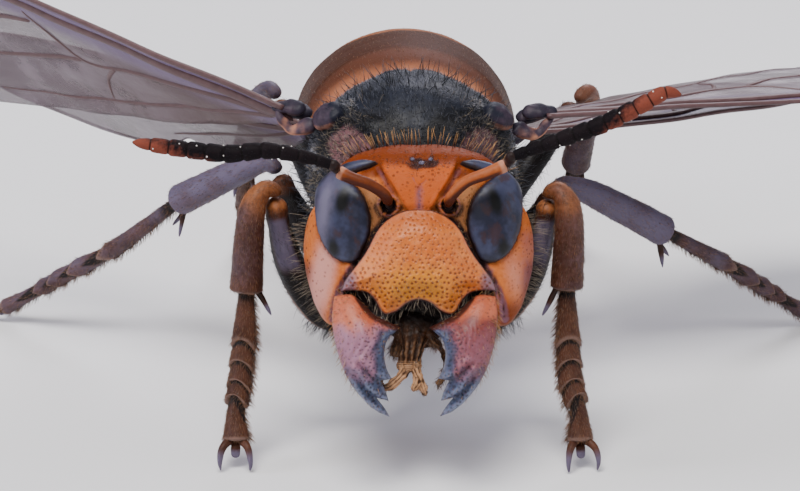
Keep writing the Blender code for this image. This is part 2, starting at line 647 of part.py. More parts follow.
# The legs. Each joint line runs outwards from the body; a girth is (share along, half width).
LEGS = {
    "foreleg_right": {
        "coxa": [(-1.75, 5.0, 8.3), (-2.35, 4.4, 7.0), (-2.9, 4.1, 5.75)],
        "femur": [
            (-3.1, 4.0, 5.35), (-4.9, 3.8, 6.5), (-6.15, 3.3, 8.9), (-6.75, 2.7, 11.4),
            (-6.85, 2.5, 12.6),
        ],
        "tibia": [
            (-6.95, 2.45, 13.0), (-7.35, 2.3, 13.1), (-7.85, 2.0, 12.5), (-8.1, 1.6, 10.9),
            (-8.25, 1.0, 8.25),
        ],
        "spurs": [[(-7.75, 1.0, 8.5), (-7.4, 0.95, 7.9), (-7.05, 0.9, 7.2)]],
        "tarsus": [
            (-8.3, 1.0, 8.1), (-8.4, 0.6, 5.6), (-8.6, 0.2, 3.9), (-8.78, -0.2, 2.6),
            (-8.78, -0.65, 1.35),
        ],
    },
    "foreleg_left": {
        "coxa": [(1.35, 5.0, 8.3), (1.95, 4.4, 7.0), (2.5, 4.1, 5.75)],
        "femur": [(2.7, 4.0, 5.35), (4.4, 3.8, 6.6), (5.55, 3.3, 8.9), (6.1, 2.7, 11.4), (6.25, 2.5, 12.5)],
        "tibia": [
            (6.35, 2.45, 12.9), (6.75, 2.3, 13.0), (7.15, 2.0, 12.3), (7.2, 1.6, 10.8), (7.1, 1.0, 8.4),
        ],
        "spurs": [[(6.6, 1.0, 8.6), (6.3, 0.95, 7.9), (5.95, 0.9, 7.2)]],
        "tarsus": [
            (7.1, 1.0, 8.2), (7.2, 0.6, 5.7), (7.35, 0.2, 4.0), (7.7, -0.25, 2.7), (7.78, -0.7, 1.35),
        ],
    },
    "midleg_right": {
        "coxa": [(-2.2, 9.3, 7.9), (-2.9, 9.5, 7.0), (-3.4, 9.6, 6.2)],
        "femur": [(-3.7, 9.65, 6.1), (-5.0, 9.9, 7.6), (-6.2, 10.4, 9.6), (-7.0, 10.9, 11.2)],
        "tibia": [
            (-7.25, 11.1, 11.6), (-7.7, 11.4, 11.7), (-8.7, 12.1, 11.2), (-10.6, 13.5, 9.9),
            (-12.4, 14.9, 8.6),
        ],
        "spurs": [
            [(-12.0, 14.6, 8.4), (-12.2, 14.7, 7.5), (-12.35, 14.8, 6.7)],
            [(-11.9, 15.1, 8.3), (-12.3, 15.5, 7.6), (-12.75, 15.8, 7.0)],
        ],
        "tarsus": [
            (-12.6, 15.0, 8.3), (-16.0, 17.0, 5.3), (-18.6, 18.5, 3.45), (-20.7, 19.7, 1.9),
            (-22.3, 20.7, 0.75),
        ],
    },
    "midleg_left": {
        "coxa": [(1.75, 9.3, 7.9), (2.45, 9.5, 7.0), (2.95, 9.6, 6.2)],
        "femur": [(3.25, 9.65, 6.1), (4.6, 9.9, 7.2), (5.9, 10.4, 8.85), (6.8, 10.9, 10.15)],
        "tibia": [
            (7.1, 11.1, 10.5), (7.55, 11.4, 10.55), (8.6, 12.1, 10.0), (10.9, 13.6, 8.4),
            (12.95, 14.9, 6.9),
        ],
        "spurs": [
            [(12.5, 14.6, 6.7), (12.7, 14.7, 5.8), (12.8, 14.8, 5.0)],
            [(12.4, 15.1, 6.6), (12.8, 15.5, 5.9), (13.2, 15.8, 5.3)],
        ],
        "tarsus": [
            (13.2, 15.0, 6.7), (15.9, 16.7, 4.8), (18.0, 18.0, 3.15), (19.8, 19.1, 1.7),
            (21.0, 19.9, 0.75),
        ],
    },
    "hindleg_right": {
        "coxa": [(-2.1, 13.9, 7.9), (-2.75, 14.4, 6.9), (-3.15, 14.8, 6.1)],
        "femur": [(-3.4, 15.0, 6.1), (-4.6, 16.3, 8.0), (-6.2, 18.2, 10.8), (-7.3, 19.6, 12.7)],
        "tibia": [
            (-7.55, 20.0, 13.1), (-7.9, 20.6, 13.1), (-8.5, 22.2, 11.9), (-9.1, 24.7, 9.2),
            (-9.5, 26.8, 6.9),
        ],
        "spurs": [
            [(-9.15, 26.4, 6.9), (-9.05, 26.75, 6.0), (-8.95, 27.05, 5.2)],
            [(-9.8, 26.3, 6.8), (-9.95, 26.55, 5.9), (-10.1, 26.8, 5.1)],
        ],
        "tarsus": [
            (-9.6, 27.0, 6.7), (-9.7, 29.6, 4.1), (-9.7, 31.9, 2.4), (-9.7, 33.9, 1.3),
            (-9.7, 35.8, 0.75),
        ],
    },
    "hindleg_left": {
        "coxa": [(1.6, 13.9, 7.9), (2.25, 14.4, 6.9), (2.65, 14.8, 6.1)],
        "femur": [(2.9, 15.0, 6.1), (4.4, 16.3, 8.0), (6.7, 18.2, 10.7), (8.4, 19.6, 12.5)],
        "tibia": [
            (8.75, 20.0, 12.9), (9.1, 20.6, 12.9), (9.2, 22.2, 11.8), (9.0, 24.7, 9.2),
            (8.8, 26.8, 6.9),
        ],
        "spurs": [
            [(8.45, 26.4, 6.9), (8.35, 26.75, 6.0), (8.25, 27.05, 5.2)],
            [(9.1, 26.3, 6.8), (9.25, 26.55, 5.9), (9.4, 26.8, 5.1)],
        ],
        "tarsus": [
            (8.8, 27.0, 6.7), (8.8, 29.6, 4.1), (8.8, 31.9, 2.4), (8.8, 33.9, 1.3), (8.8, 35.8, 0.75),
        ],
    },
}
COXA_GIRTH = [(0, 0.9), (0.2, 1.15), (0.55, 1.05), (0.8, 0.7), (0.88, 0.6), (0.95, 0.62), (1, 0.4)]
FEMUR_GIRTH = [
    (0, 0.3), (0.04, 0.45), (0.18, 0.72), (0.4, 0.82), (0.65, 0.76), (0.85, 0.6), (0.95, 0.58), (1, 0.36),
]
TIBIA_GIRTH = [
    (0, 0.26), (0.05, 0.36), (0.14, 0.46), (0.3, 0.64), (0.6, 0.74), (0.85, 0.78), (0.96, 0.76), (1, 0.55),
]
TARSUS_WIDTH = {
    "fore": [(0, 0.45), (0.39, 0.52), (0.5, 0.60), (0.75, 0.60), (0.8, 0.5), (1, 0.46)],
    "mid": [(0, 0.52), (0.46, 0.55), (0.6, 0.58), (0.8, 0.55), (1, 0.46)],
    "hind": [(0, 0.44), (0.46, 0.46), (0.6, 0.5), (0.8, 0.5), (1, 0.46)],
}
TARSUS_JOINTS = {
    "fore": [0.0, 0.39, 0.52, 0.65, 0.75, 1.0],
    "mid": [0.0, 0.46, 0.61, 0.72, 0.80, 1.0],
    "hind": [0.0, 0.46, 0.61, 0.72, 0.80, 1.0],
}
JOINT_SHAPE = [(0.04, 0.78), (0.45, 0.92), (0.92, 1.04)]  # (share along a joint, scale of the foot's width)
TIBIA_SCALE = {"fore": 1.0, "mid": 1.1, "hind": 1.0}
CLAW_GIRTH = [(0, 0.28), (0.3, 0.27), (0.6, 0.24), (0.85, 0.18), (1, 0.12)]
SPUR_GIRTH = [(0, 0.2), (0.35, 0.2), (0.8, 0.14), (1, 0.05)]
# A claw and the pad, as (ahead of the foot's end, out to its side, share of the end's height).
CLAW_PATH = [(-0.3, 0.12, 0.9), (0.2, 0.32, 1.05), (0.7, 0.6, 0.85), (0.95, 0.76, 0.35), (0.98, 0.78, 0.0)]
PAD_PATH = [(-0.3, 0.0, 0.9), (0.1, 0.0, 0.6), (0.25, 0.0, 0.0)]
PAD_GIRTH = [(0, 0.3), (0.4, 0.34), (1, 0.34)]
UNDER_FLOOR = 0.25  # how far the claws and pads run below the floor before they are cut flat


def tarsus_girth(pair):
    """Five joints, each wider at its far end than where it starts."""
    girth = []
    for start, end in zip(TARSUS_JOINTS[pair], TARSUS_JOINTS[pair][1:]):
        for share, scale in JOINT_SHAPE:
            where = start + share * (end - start)
            girth.append((where, read_table(TARSUS_WIDTH[pair], where) * scale))
    return girth


def make_foot(name, points, materials, collection):
    """The two claws and the pad at the end of a tarsus, down to just under the floor."""
    end = Vector(points[-1])
    ahead = end - Vector(points[-2])
    ahead = Vector((ahead.x, ahead.y, 0)).normalized()
    aside = Vector((-ahead.y, ahead.x, 0))
    pieces = []
    toes = [(CLAW_PATH, CLAW_GIRTH, 1), (CLAW_PATH, CLAW_GIRTH, -1), (PAD_PATH, PAD_GIRTH, 1)]
    for path, girth, side in toes:
        placed = []
        for forward, out, height in path:
            drop = Vector((0, 0, (height - 1) * (end.z + UNDER_FLOOR)))
            placed.append(end + ahead * forward + aside * side * out + drop)
        pieces.append(limb(name + "_toe", placed, girth, 6, materials["brown"], collection))
    return pieces


def make_leg(name, joints, materials, thorax, collection):
    coxa = limb(name + "_coxa", joints["coxa"], COXA_GIRTH, 10, materials["brown"], collection)
    make_room(coxa, *[thorax[k] for k in ("pronotum", "mesothorax", "propodeum")])
    femur = limb(name + "_femur", joints["femur"], FEMUR_GIRTH, 10, materials["brown"], collection)
    make_room(femur, coxa)
    pair = name.split("leg")[0]
    girth = [(share, half * TIBIA_SCALE[pair]) for share, half in TIBIA_GIRTH]
    tibia = limb(name + "_tibia", joints["tibia"], girth, 10, materials["brown"], collection)
    spurs = [
        limb(name + "_spur_%d" % i, points, SPUR_GIRTH, 5, materials["brown"], collection)
        for i, points in enumerate(joints["spurs"])
    ]
    fuse(tibia, *spurs)
    make_room(tibia, femur)
    tarsus = limb(name + "_tarsus", joints["tarsus"], tarsus_girth(pair), 8, materials["brown"], collection)
    fuse(tarsus, *make_foot(name, joints["tarsus"], materials, collection))
    make_room(tarsus, tibia)
    floor = bmesh.new()
    bmesh.ops.create_cube(floor, size=100, matrix=Matrix.Translation((0, 0, -50)))
    apply_boolean(tarsus, "DIFFERENCE", [make_object(name + "_floor", floor, materials["brown"], collection)])


# The wings, flat, as (out along the wing, back from its leading edge) of a wing of full length.
FOREWING_OUTLINE = [
    (0.0, -0.25), (4.0, -0.35), (9.0, -0.45), (14.0, -0.5), (19.0, -0.45), (23.5, -0.45), (27.5, 0.0),
    (31.0, 0.75), (34.0, 2.0), (35.8, 4.0), (35.7, 6.0), (34.2, 7.9), (31.5, 9.4), (28.0, 10.3), (24.0, 10.5),
    (20.5, 9.9), (18.0, 9.0), (14.0, 7.5), (10.0, 5.9), (6.0, 4.2), (3.0, 2.6), (1.0, 1.35), (0.0, 0.9),
]
FOREWING_VEINS = [
    [(0.3, 0.3), (6.0, 0.25), (12.0, 0.2), (18.0, 0.2), (22.0, 0.35), (24.0, 0.6), (27.5, 0.8), (31.3, 1.75)],
    [(0.6, 0.45), (5.0, 1.15), (9.0, 2.0), (12.0, 2.75), (15.5, 0.65)],
    [(12.0, 2.75), (16.0, 4.6), (19.5, 6.1), (23.0, 7.7), (25.8, 9.2)],
    [(15.0, 1.3), (18.5, 2.6), (21.0, 3.3), (24.0, 3.9), (27.5, 3.6), (31.0, 2.0)],
    [(21.0, 3.3), (22.5, 5.0), (26.0, 5.7), (30.0, 6.9), (33.0, 7.7)],
    [(24.0, 0.6), (25.2, 2.3), (25.3, 3.8), (25.0, 5.4)],
    [(28.2, 3.3), (29.0, 5.0), (28.8, 6.5)],
    [(19.0, 2.8), (19.6, 4.6), (19.5, 6.1)],
    [(24.6, 5.4), (24.6, 7.0), (23.6, 8.0)],
    [(0.8, 0.7), (5.0, 2.6), (10.0, 4.9), (14.5, 6.7), (17.6, 7.9)],
    [(10.0, 2.25), (10.6, 3.6), (10.3, 5.0)],
]
HINDWING_OUTLINE = [
    (0.0, -0.2), (5.0, -0.5), (10.0, -0.4), (15.0, 0.1), (19.5, 1.1), (22.3, 2.6), (23.0, 4.2), (21.6, 5.6),
    (18.5, 6.5), (15.0, 6.9), (12.0, 6.7), (9.5, 6.0), (8.3, 5.1), (6.8, 5.5), (4.3, 5.0), (2.2, 3.4),
    (0.8, 1.8), (0.0, 0.9),
]
HINDWING_VEINS = [
    [(0.3, 0.25), (5.0, 0.2), (9.5, 0.25), (13.0, 1.1), (18.5, 2.4)],
    [(0.6, 0.5), (4.5, 1.5), (8.0, 2.5), (12.0, 3.8), (16.5, 5.3)],
    [(0.7, 0.8), (4.0, 2.6), (7.0, 4.1), (9.4, 5.2)],
    [(9.5, 0.4), (10.2, 1.8), (10.6, 3.3)],
]
# Where each wing's root is, and how it is held: angles in degrees.
WINGS = {
    "forewing_right": {"root": (-6.6, 7.5, 15.5), "sweep": 25, "raise": 15, "pitch": 60},
    "forewing_left": {"root": (6.25, 7.5, 15.3), "sweep": 19, "raise": -1, "pitch": 7},
    "hindwing_right": {"root": (-5.75, 10.4, 13.9), "sweep": 30, "raise": 9, "pitch": 56},
    "hindwing_left": {"root": (5.4, 10.4, 13.6), "sweep": 31, "raise": -3, "pitch": 7},
}


def wing_frame(side, held):
    """The directions out along a wing, back across it and up from its upper face."""
    sweep, lift, pitch = (radians(held[k]) for k in ("sweep", "raise", "pitch"))
    out = Vector((side * cos(sweep) * cos(lift), sin(sweep) * cos(lift), sin(lift)))
    level = Vector((-side * sin(sweep), cos(sweep), 0))
    upright = Vector((-side * cos(sweep) * sin(lift), -sin(sweep) * sin(lift), cos(lift)))
    across = level * cos(pitch) - upright * sin(pitch)
    upper = level * sin(pitch) + upright * cos(pitch)
    return out, across, upper


def vein_borders(line):
    """Two lines beside a vein, and the vein's own line, for the triangles to follow."""
    half = VEIN_WIDTH / 2
    left, right = [], []
    for i, (x, y) in enumerate(line):
        ax, ay = line[max(0, i - 1)]
        bx, by = line[min(len(line) - 1, i + 1)]
        length = hypot(bx - ax, by - ay)
        left.append((x - (by - ay) / length * half, y + (bx - ax) / length * half))
        right.append((x + (by - ay) / length * half, y - (bx - ax) / length * half))
    return [left, list(line), right]


def line_distance(point, line):
    nearest = 1e9
    for (ax, ay), (bx, by) in zip(line, line[1:]):
        ux, uy = bx - ax, by - ay
        along = min(1.0, max(0.0, ((point[0] - ax) * ux + (point[1] - ay) * uy) / (ux * ux + uy * uy)))
        nearest = min(nearest, hypot(point[0] - ax - along * ux, point[1] - ay - along * uy))
    return nearest


def make_wing(name, outline, veins, length, material, collection):
    side = SIDES[name.split("_")[1]]
    held = WINGS[name]
    out, across, upper = wing_frame(side, held)
    root = Vector(held["root"])

    def ridge(p):
        nearest = min(line_distance(p, line) for line in veins)
        return VEIN_HEIGHT * max(0.0, 1 - nearest / (VEIN_WIDTH / 2))

    def place(p, height):
        camber = CAMBER * sin(pi * min(1.0, p[0] / length)) * (1 - (p[1] / WING_CHORD * 2 - 1) ** 2)
        spot = root + out * p[0] + across * p[1] + upper * (camber + height)
        return at(*spot)

    def front(p):
        return place(p, WING_THICKNESS / 2 + ridge(p))

    def back(p):
        return place(p, -WING_THICKNESS / 2)

    ridges = [line for vein in veins for line in vein_borders(vein)]
    return plate(name, outline, WING_SPACING, front, back, material, collection, ridges)


def clear_the_scene():
    for old in list(bpy.data.objects):
        bpy.data.objects.remove(old)


def main():
    clear_the_scene()
    hornet = bpy.data.collections.new("hornet")
    bpy.context.scene.collection.children.link(hornet)
    materials = {
        "orange": colour_of("orange_cuticle", (0.72, 0.28, 0.06), 0.35),
        "clypeus": colour_of("yellow_orange_cuticle", (0.78, 0.36, 0.08), 0.35),
        "black": colour_of("black_cuticle", (0.03, 0.03, 0.035), 0.55),
        "brown": colour_of("brown_cuticle", (0.16, 0.07, 0.035), 0.45),
        "banded": colour_of("banded_cuticle", (0.30, 0.12, 0.04), 0.4),
        "eye": colour_of("eye_surface", (0.02, 0.022, 0.035), 0.12),
        "mandible": colour_of("mandible_cuticle", (0.42, 0.20, 0.16), 0.35),
        "wing": colour_of("wing_membrane", (0.35, 0.25, 0.18), 0.3, 0.75),
    }
    head = make_head(materials["orange"], hornet)
    eyes = [make_eye(side, materials["eye"], hornet) for side in (1, -1)]
    clypeus = make_clypeus(materials["clypeus"], hornet)
    mandibles = [make_mandible(side, materials["mandible"], hornet) for side in (1, -1)]
    mouthparts = make_mouthparts(materials["brown"], hornet)
    make_room(clypeus, *mandibles, *eyes)
    make_room(mouthparts, *mandibles, clypeus, head)
    make_room(head, *eyes, clypeus, *mandibles)
    make_antennae(materials["orange"], materials["black"], head, hornet)
    thorax = make_thorax(materials, head, hornet)
    make_tegulae(materials["brown"], thorax, hornet)
    make_gaster(materials, hornet)
    for name, joints in LEGS.items():
        make_leg(name, joints, materials, thorax, hornet)
    for side in SIDES:
        fore = (FOREWING_OUTLINE, FOREWING_VEINS, WING_LENGTH)
        make_wing("forewing_" + side, *fore, materials["wing"], hornet)
        hind = (HINDWING_OUTLINE, HINDWING_VEINS, HINDWING_LENGTH)
        make_wing("hindwing_" + side, *hind, materials["wing"], hornet)
    for made in hornet.objects:
        made.data.transform(Matrix.Scale(METRES, 4))


main()
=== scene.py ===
"""The looks of a life-size asian giant hornet, a queen, standing with its wings spread.

Lengths are in millimetres while a piece is made, and each finished mesh is scaled to metres.
Places on the body are (across, back, up): x and y from the middle of the head, z from the floor.
"""

from math import asin, atan2, cos, hypot, pi, radians, sin, sqrt
from types import SimpleNamespace

import bmesh
import bpy
import numpy as np
from mathutils import Matrix, Vector, noise
from mathutils.geometry import delaunay_2d_cdt


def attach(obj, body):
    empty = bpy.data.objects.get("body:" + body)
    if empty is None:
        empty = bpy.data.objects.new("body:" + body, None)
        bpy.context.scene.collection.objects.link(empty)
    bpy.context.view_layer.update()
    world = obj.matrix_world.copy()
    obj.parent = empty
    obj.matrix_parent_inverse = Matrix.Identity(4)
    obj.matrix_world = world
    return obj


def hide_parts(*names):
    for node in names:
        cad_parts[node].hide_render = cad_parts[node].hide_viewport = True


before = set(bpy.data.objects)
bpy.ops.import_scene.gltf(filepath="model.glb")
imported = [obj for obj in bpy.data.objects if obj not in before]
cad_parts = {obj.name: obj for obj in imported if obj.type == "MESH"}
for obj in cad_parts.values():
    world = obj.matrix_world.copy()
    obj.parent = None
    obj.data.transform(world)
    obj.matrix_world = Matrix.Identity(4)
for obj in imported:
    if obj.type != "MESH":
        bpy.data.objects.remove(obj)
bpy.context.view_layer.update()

METRES = 0.001  # in one millimetre
MERGE = 0.0005  # points of a tube this near to each other become one
HEAD_AT = (-0.39, -19.06)  # the middle of the head
HEAD_HEIGHT = 10.8
HEAD_PITCH = radians(15)  # how far the face is tipped back
HEAD_FRONT = 2.45  # how far the head reaches ahead of its middle
HEAD_BACK = 3.0
HEAD_SQUARE = 2.6  # the power that its section's curve has, an ellipse's being 2
HEAD_FORM = (28, 8, 22)  # how slowly its surface turns across, back and up
SIDES = {"left": 1, "right": -1}
SIDE_NAMES = {1: "left", -1: "right"}


# Places and smooth tables.
def at(x, y, z):
    return Vector((x + HEAD_AT[0], y + HEAD_AT[1], z))


def of_head(x, y, z):
    """The place of a point given across the face, back from it and up it, from the head's middle."""
    back = y * cos(HEAD_PITCH) + z * sin(HEAD_PITCH)
    up = z * cos(HEAD_PITCH) - y * sin(HEAD_PITCH)
    return at(x, back, HEAD_HEIGHT + up)


def ramp(low, high, value):
    """0 up to low, 1 from high on and smooth between. It falls where low is the higher of the two."""
    share = np.clip((value - low) / (high - low), 0.0, 1.0)
    return share * share * (3 - 2 * share)


def between(low, first, last, high, value):
    """1 from first to last, fading smoothly to 0 at low and at high."""
    return ramp(low, first, value) * ramp(high, last, value)


def bell(distance, width):
    """1 at no distance, falling off smoothly over a width."""
    return np.exp(-(distance / width) ** 2)


def spot(across, up):
    """1 in the middle of an oval spot, both distances being counted in its half widths."""
    return bell(np.hypot(across, up), 1.0)


def most(*shares):
    """The largest of several shares at each place."""
    return np.maximum.reduce(shares)


def uneven(x, z, layer):
    """Smooth noise from -1 to 1 over a flat map, another one on each layer."""
    return np.array([noise.noise(Vector((a, b, layer))) for a, b in zip(x, z)])


def drift(mesh, scale):
    """Smooth noise from -1 to 1 at each vertex."""
    return np.array([noise.noise(vert.co * scale) for vert in mesh.verts])


def read_table(table, where):
    """A smooth value between the (place, value) pairs of a table."""
    if where <= table[0][0]:
        return table[0][1]
    if where >= table[-1][0]:
        return table[-1][1]
    i = next(k for k in range(len(table) - 1) if table[k + 1][0] >= where)
    (x0, y0), (x1, y1) = table[i], table[i + 1]

    def slope(k):
        if k in (0, len(table) - 1):
            j = min(k, len(table) - 2)
            return (table[j + 1][1] - table[j][1]) / (table[j + 1][0] - table[j][0])
        return (table[k + 1][1] - table[k - 1][1]) / (table[k + 1][0] - table[k - 1][0])

    width = x1 - x0
    t = (where - x0) / width
    hermite = (2 * t**3 - 3 * t**2 + 1, t**3 - 2 * t**2 + t, 3 * t**2 - 2 * t**3, t**3 - t**2)
    return hermite[0] * y0 + hermite[2] * y1 + (hermite[1] * slope(i) + hermite[3] * slope(i + 1)) * width


class Path:
    """A smooth line through points, read by the share of the way along it."""

    def __init__(self, points):
        lengths = [0.0]
        for a, b in zip(points, points[1:]):
            lengths.append(lengths[-1] + (Vector(b) - Vector(a)).length)
        self.length = lengths[-1]
        self.tables = [[(s, p[k]) for s, p in zip(lengths, points)] for k in range(3)]

    def point(self, share):
        return Vector([read_table(table, share * self.length) for table in self.tables])


def mirrored(half):
    """A whole outline from its x >= 0 half, whose first and last points are on x = 0."""
    return half + [(-x, z) for x, z in reversed(half[1:-1])]


def line_distance(points, line):
    """How far each point is from an open line."""
    points = np.asarray(points, float).reshape(-1, 1, 2)
    start = np.asarray(line[:-1], float)
    step = np.asarray(line[1:], float) - start
    along = np.clip(((points - start) * step).sum(2) / (step * step).sum(1), 0, 1)
    return np.linalg.norm(points - start - along[..., None] * step, axis=2).min(1)


def edge_distance(points, outline):
    return line_distance(points, list(outline) + [outline[0]])


def inside(points, outline):
    points = np.asarray(points, float).reshape(-1, 1, 2)
    a = np.asarray(outline, float)
    b = np.roll(a, -1, axis=0)
    spans = (a[:, 1] > points[..., 1]) != (b[:, 1] > points[..., 1])
    rise = np.where(b[:, 1] == a[:, 1], 1.0, b[:, 1] - a[:, 1])
    crosses = points[..., 0] < a[:, 0] + (points[..., 1] - a[:, 1]) * (b[:, 0] - a[:, 0]) / rise
    return (spans & crosses).sum(1) % 2 == 1


SHARP = radians(58)  # an outline's corner that turns more than this stays sharp


def smoothed(outline, steps, closed=True):
    """An outline or line with its sides curved and its sharp corners kept."""
    points = [Vector(p) for p in outline]
    count = len(points)

    def tangent(i):
        if not closed and i in (0, count - 1):
            return Vector((0, 0))
        before = points[i] - points[i - 1]
        after = points[(i + 1) % count] - points[i]
        if before.angle(after) > SHARP:
            return Vector((0, 0))
        return (before.normalized() + after.normalized()) * 0.5 * min(before.length, after.length)

    curved = []
    for i in range(count if closed else count - 1):
        a, b = points[i], points[(i + 1) % count]
        for k in range(steps):
            t = k / steps
            ends = a * (2 * t**3 - 3 * t**2 + 1) + b * (3 * t**2 - 2 * t**3)
            leaving, arriving = tangent(i), tangent((i + 1) % count)
            curved.append(ends + leaving * (t**3 - 2 * t**2 + t) + arriving * (t**3 - t**2))
    return [tuple(p) for p in curved] + ([] if closed else [tuple(points[-1])])


# Finishes. Each is one material made of nodes.
class Value:
    """A socket of a finish. Arithmetic on it adds Math nodes."""

    def __init__(self, finish, socket):
        self.finish = finish
        self.socket = socket

    def math(self, operation, first, second):
        return self.finish.node("ShaderNodeMath", {"operation": operation}, {0: first, 1: second})

    def __add__(self, other):
        return self.math("ADD", self, other)

    def __mul__(self, other):
        return self.math("MULTIPLY", self, other)

    def __sub__(self, other):
        return self.math("SUBTRACT", self, other)

    def __rsub__(self, other):
        return self.math("SUBTRACT", other, self)

    __radd__ = __add__
    __rmul__ = __mul__


class Finish:
    """A material. Its patterns read the object's own coordinates, in millimetres."""

    def __init__(self, name, **fixed):
        self.material = bpy.data.materials.new(name)
        self.material.use_nodes = True
        self.tree = self.material.node_tree
        self.shader = self.tree.nodes["Principled BSDF"]
        for socket, value in fixed.items():
            self.shader.inputs[socket.replace("_", " ")].default_value = value
        place = self.node("ShaderNodeTexCoord", output="Object")
        values = {0: place, "Scale": 1 / METRES}
        self.place = self.node("ShaderNodeVectorMath", {"operation": "SCALE"}, values)

    def node(self, kind, settings=None, values=None, output=0):
        made = self.tree.nodes.new(kind)
        for key, setting in (settings or {}).items():
            if key == "stops":
                stops = made.color_ramp.elements
                while len(stops) < len(setting):
                    stops.new(1.0)
                for stop, (where, colour) in zip(stops, setting):
                    stop.position = where
                    stop.color = colour
            else:
                setattr(made, key, setting)
        for key, value in (values or {}).items():
            if isinstance(value, Value):
                self.tree.links.new(value.socket, made.inputs[key])
            else:
                made.inputs[key].default_value = value
        return Value(self, made.outputs[output])

    def noise(self, scale, detail=3.0, place=None):
        values = {"Vector": place or self.place, "Scale": scale, "Detail": detail, "Roughness": 0.6}
        return self.node("ShaderNodeTexNoise", None, values)

    def cells(self, scale, place=None):
        """How far the nearest of many scattered points is."""
        return self.node("ShaderNodeTexVoronoi", None, {"Vector": place or self.place, "Scale": scale})

    def stretched(self, x, y, z):
        return self.node("ShaderNodeVectorMath", {"operation": "MULTIPLY"}, {0: self.place, 1: (x, y, z)})

    def mark(self, name):
        return self.node("ShaderNodeAttribute", {"attribute_name": name}, output="Fac")

    def step(self, value, low, high):
        values = {"Value": value, "From Min": low, "From Max": high}
        return self.node("ShaderNodeMapRange", {"interpolation_type": "SMOOTHSTEP"}, values)

    def blend(self, share, first, second):
        """A colour between two, each of which is a socket or plain red, green and blue."""
        first, second = (c if isinstance(c, Value) else (*c, 1.0) for c in (first, second))
        return self.node("ShaderNodeMix", {"data_type": "RGBA"}, {0: share, 6: first, 7: second}, output=2)

    def bump(self, height, distance, strength=1.0):
        """Relief of a height from 0 to 1, distance being in millimetres."""
        values = {"Height": height, "Distance": distance * METRES, "Strength": strength}
        self.lay("Normal", self.node("ShaderNodeBump", None, values))

    def lay(self, socket, value):
        self.tree.links.new(value.socket, self.shader.inputs[socket])


def chitin(
    name, base, marks=(), dots=None, depth=0.012, grain=9.0, roughness=0.4, coat=0.12, glow=0.12, shine=0.3
):
    """Horny skin: a base colour between two, then each mark's colour laid over it.

    marks are (name of the vertex mark, colour, how much the finer noise breaks it up), and dots
    are (name of the mark, how many to the millimetre, colour).
    """
    finish = Finish(
        name,
        Coat_Weight=coat,
        Coat_Roughness=0.3,
        Specular_IOR_Level=shine,
        Subsurface_Weight=glow,
        Subsurface_Scale=0.0004,
        Subsurface_Radius=(1.0, 0.35, 0.15),
    )
    broad = finish.noise(0.55, 4.0)
    fine = finish.noise(5.5, 5.0)
    colour = finish.blend(finish.step(broad * 0.65 + fine * 0.35, 0.36, 0.64), *base)
    height = finish.step(finish.cells(grain), 0.05, 0.42) * 0.4 + fine * 0.6
    for mark, tint, broken in marks:
        share = finish.mark(mark)
        if broken:
            share = finish.step(share + (fine - 0.5) * broken, 0.12, 0.88)
        colour = finish.blend(share, colour, tint)
    if dots:
        mark, scale, tint = dots
        spots = finish.step(finish.cells(scale), 0.34, 0.16) * finish.mark(mark)
        colour = finish.blend(spots * 0.85, colour, tint)
        height = height - spots * 0.9
    finish.lay("Base Color", colour)
    finish.lay("Roughness", roughness + (fine - 0.5) * 0.3)
    finish.bump(height, depth)
    return finish.material


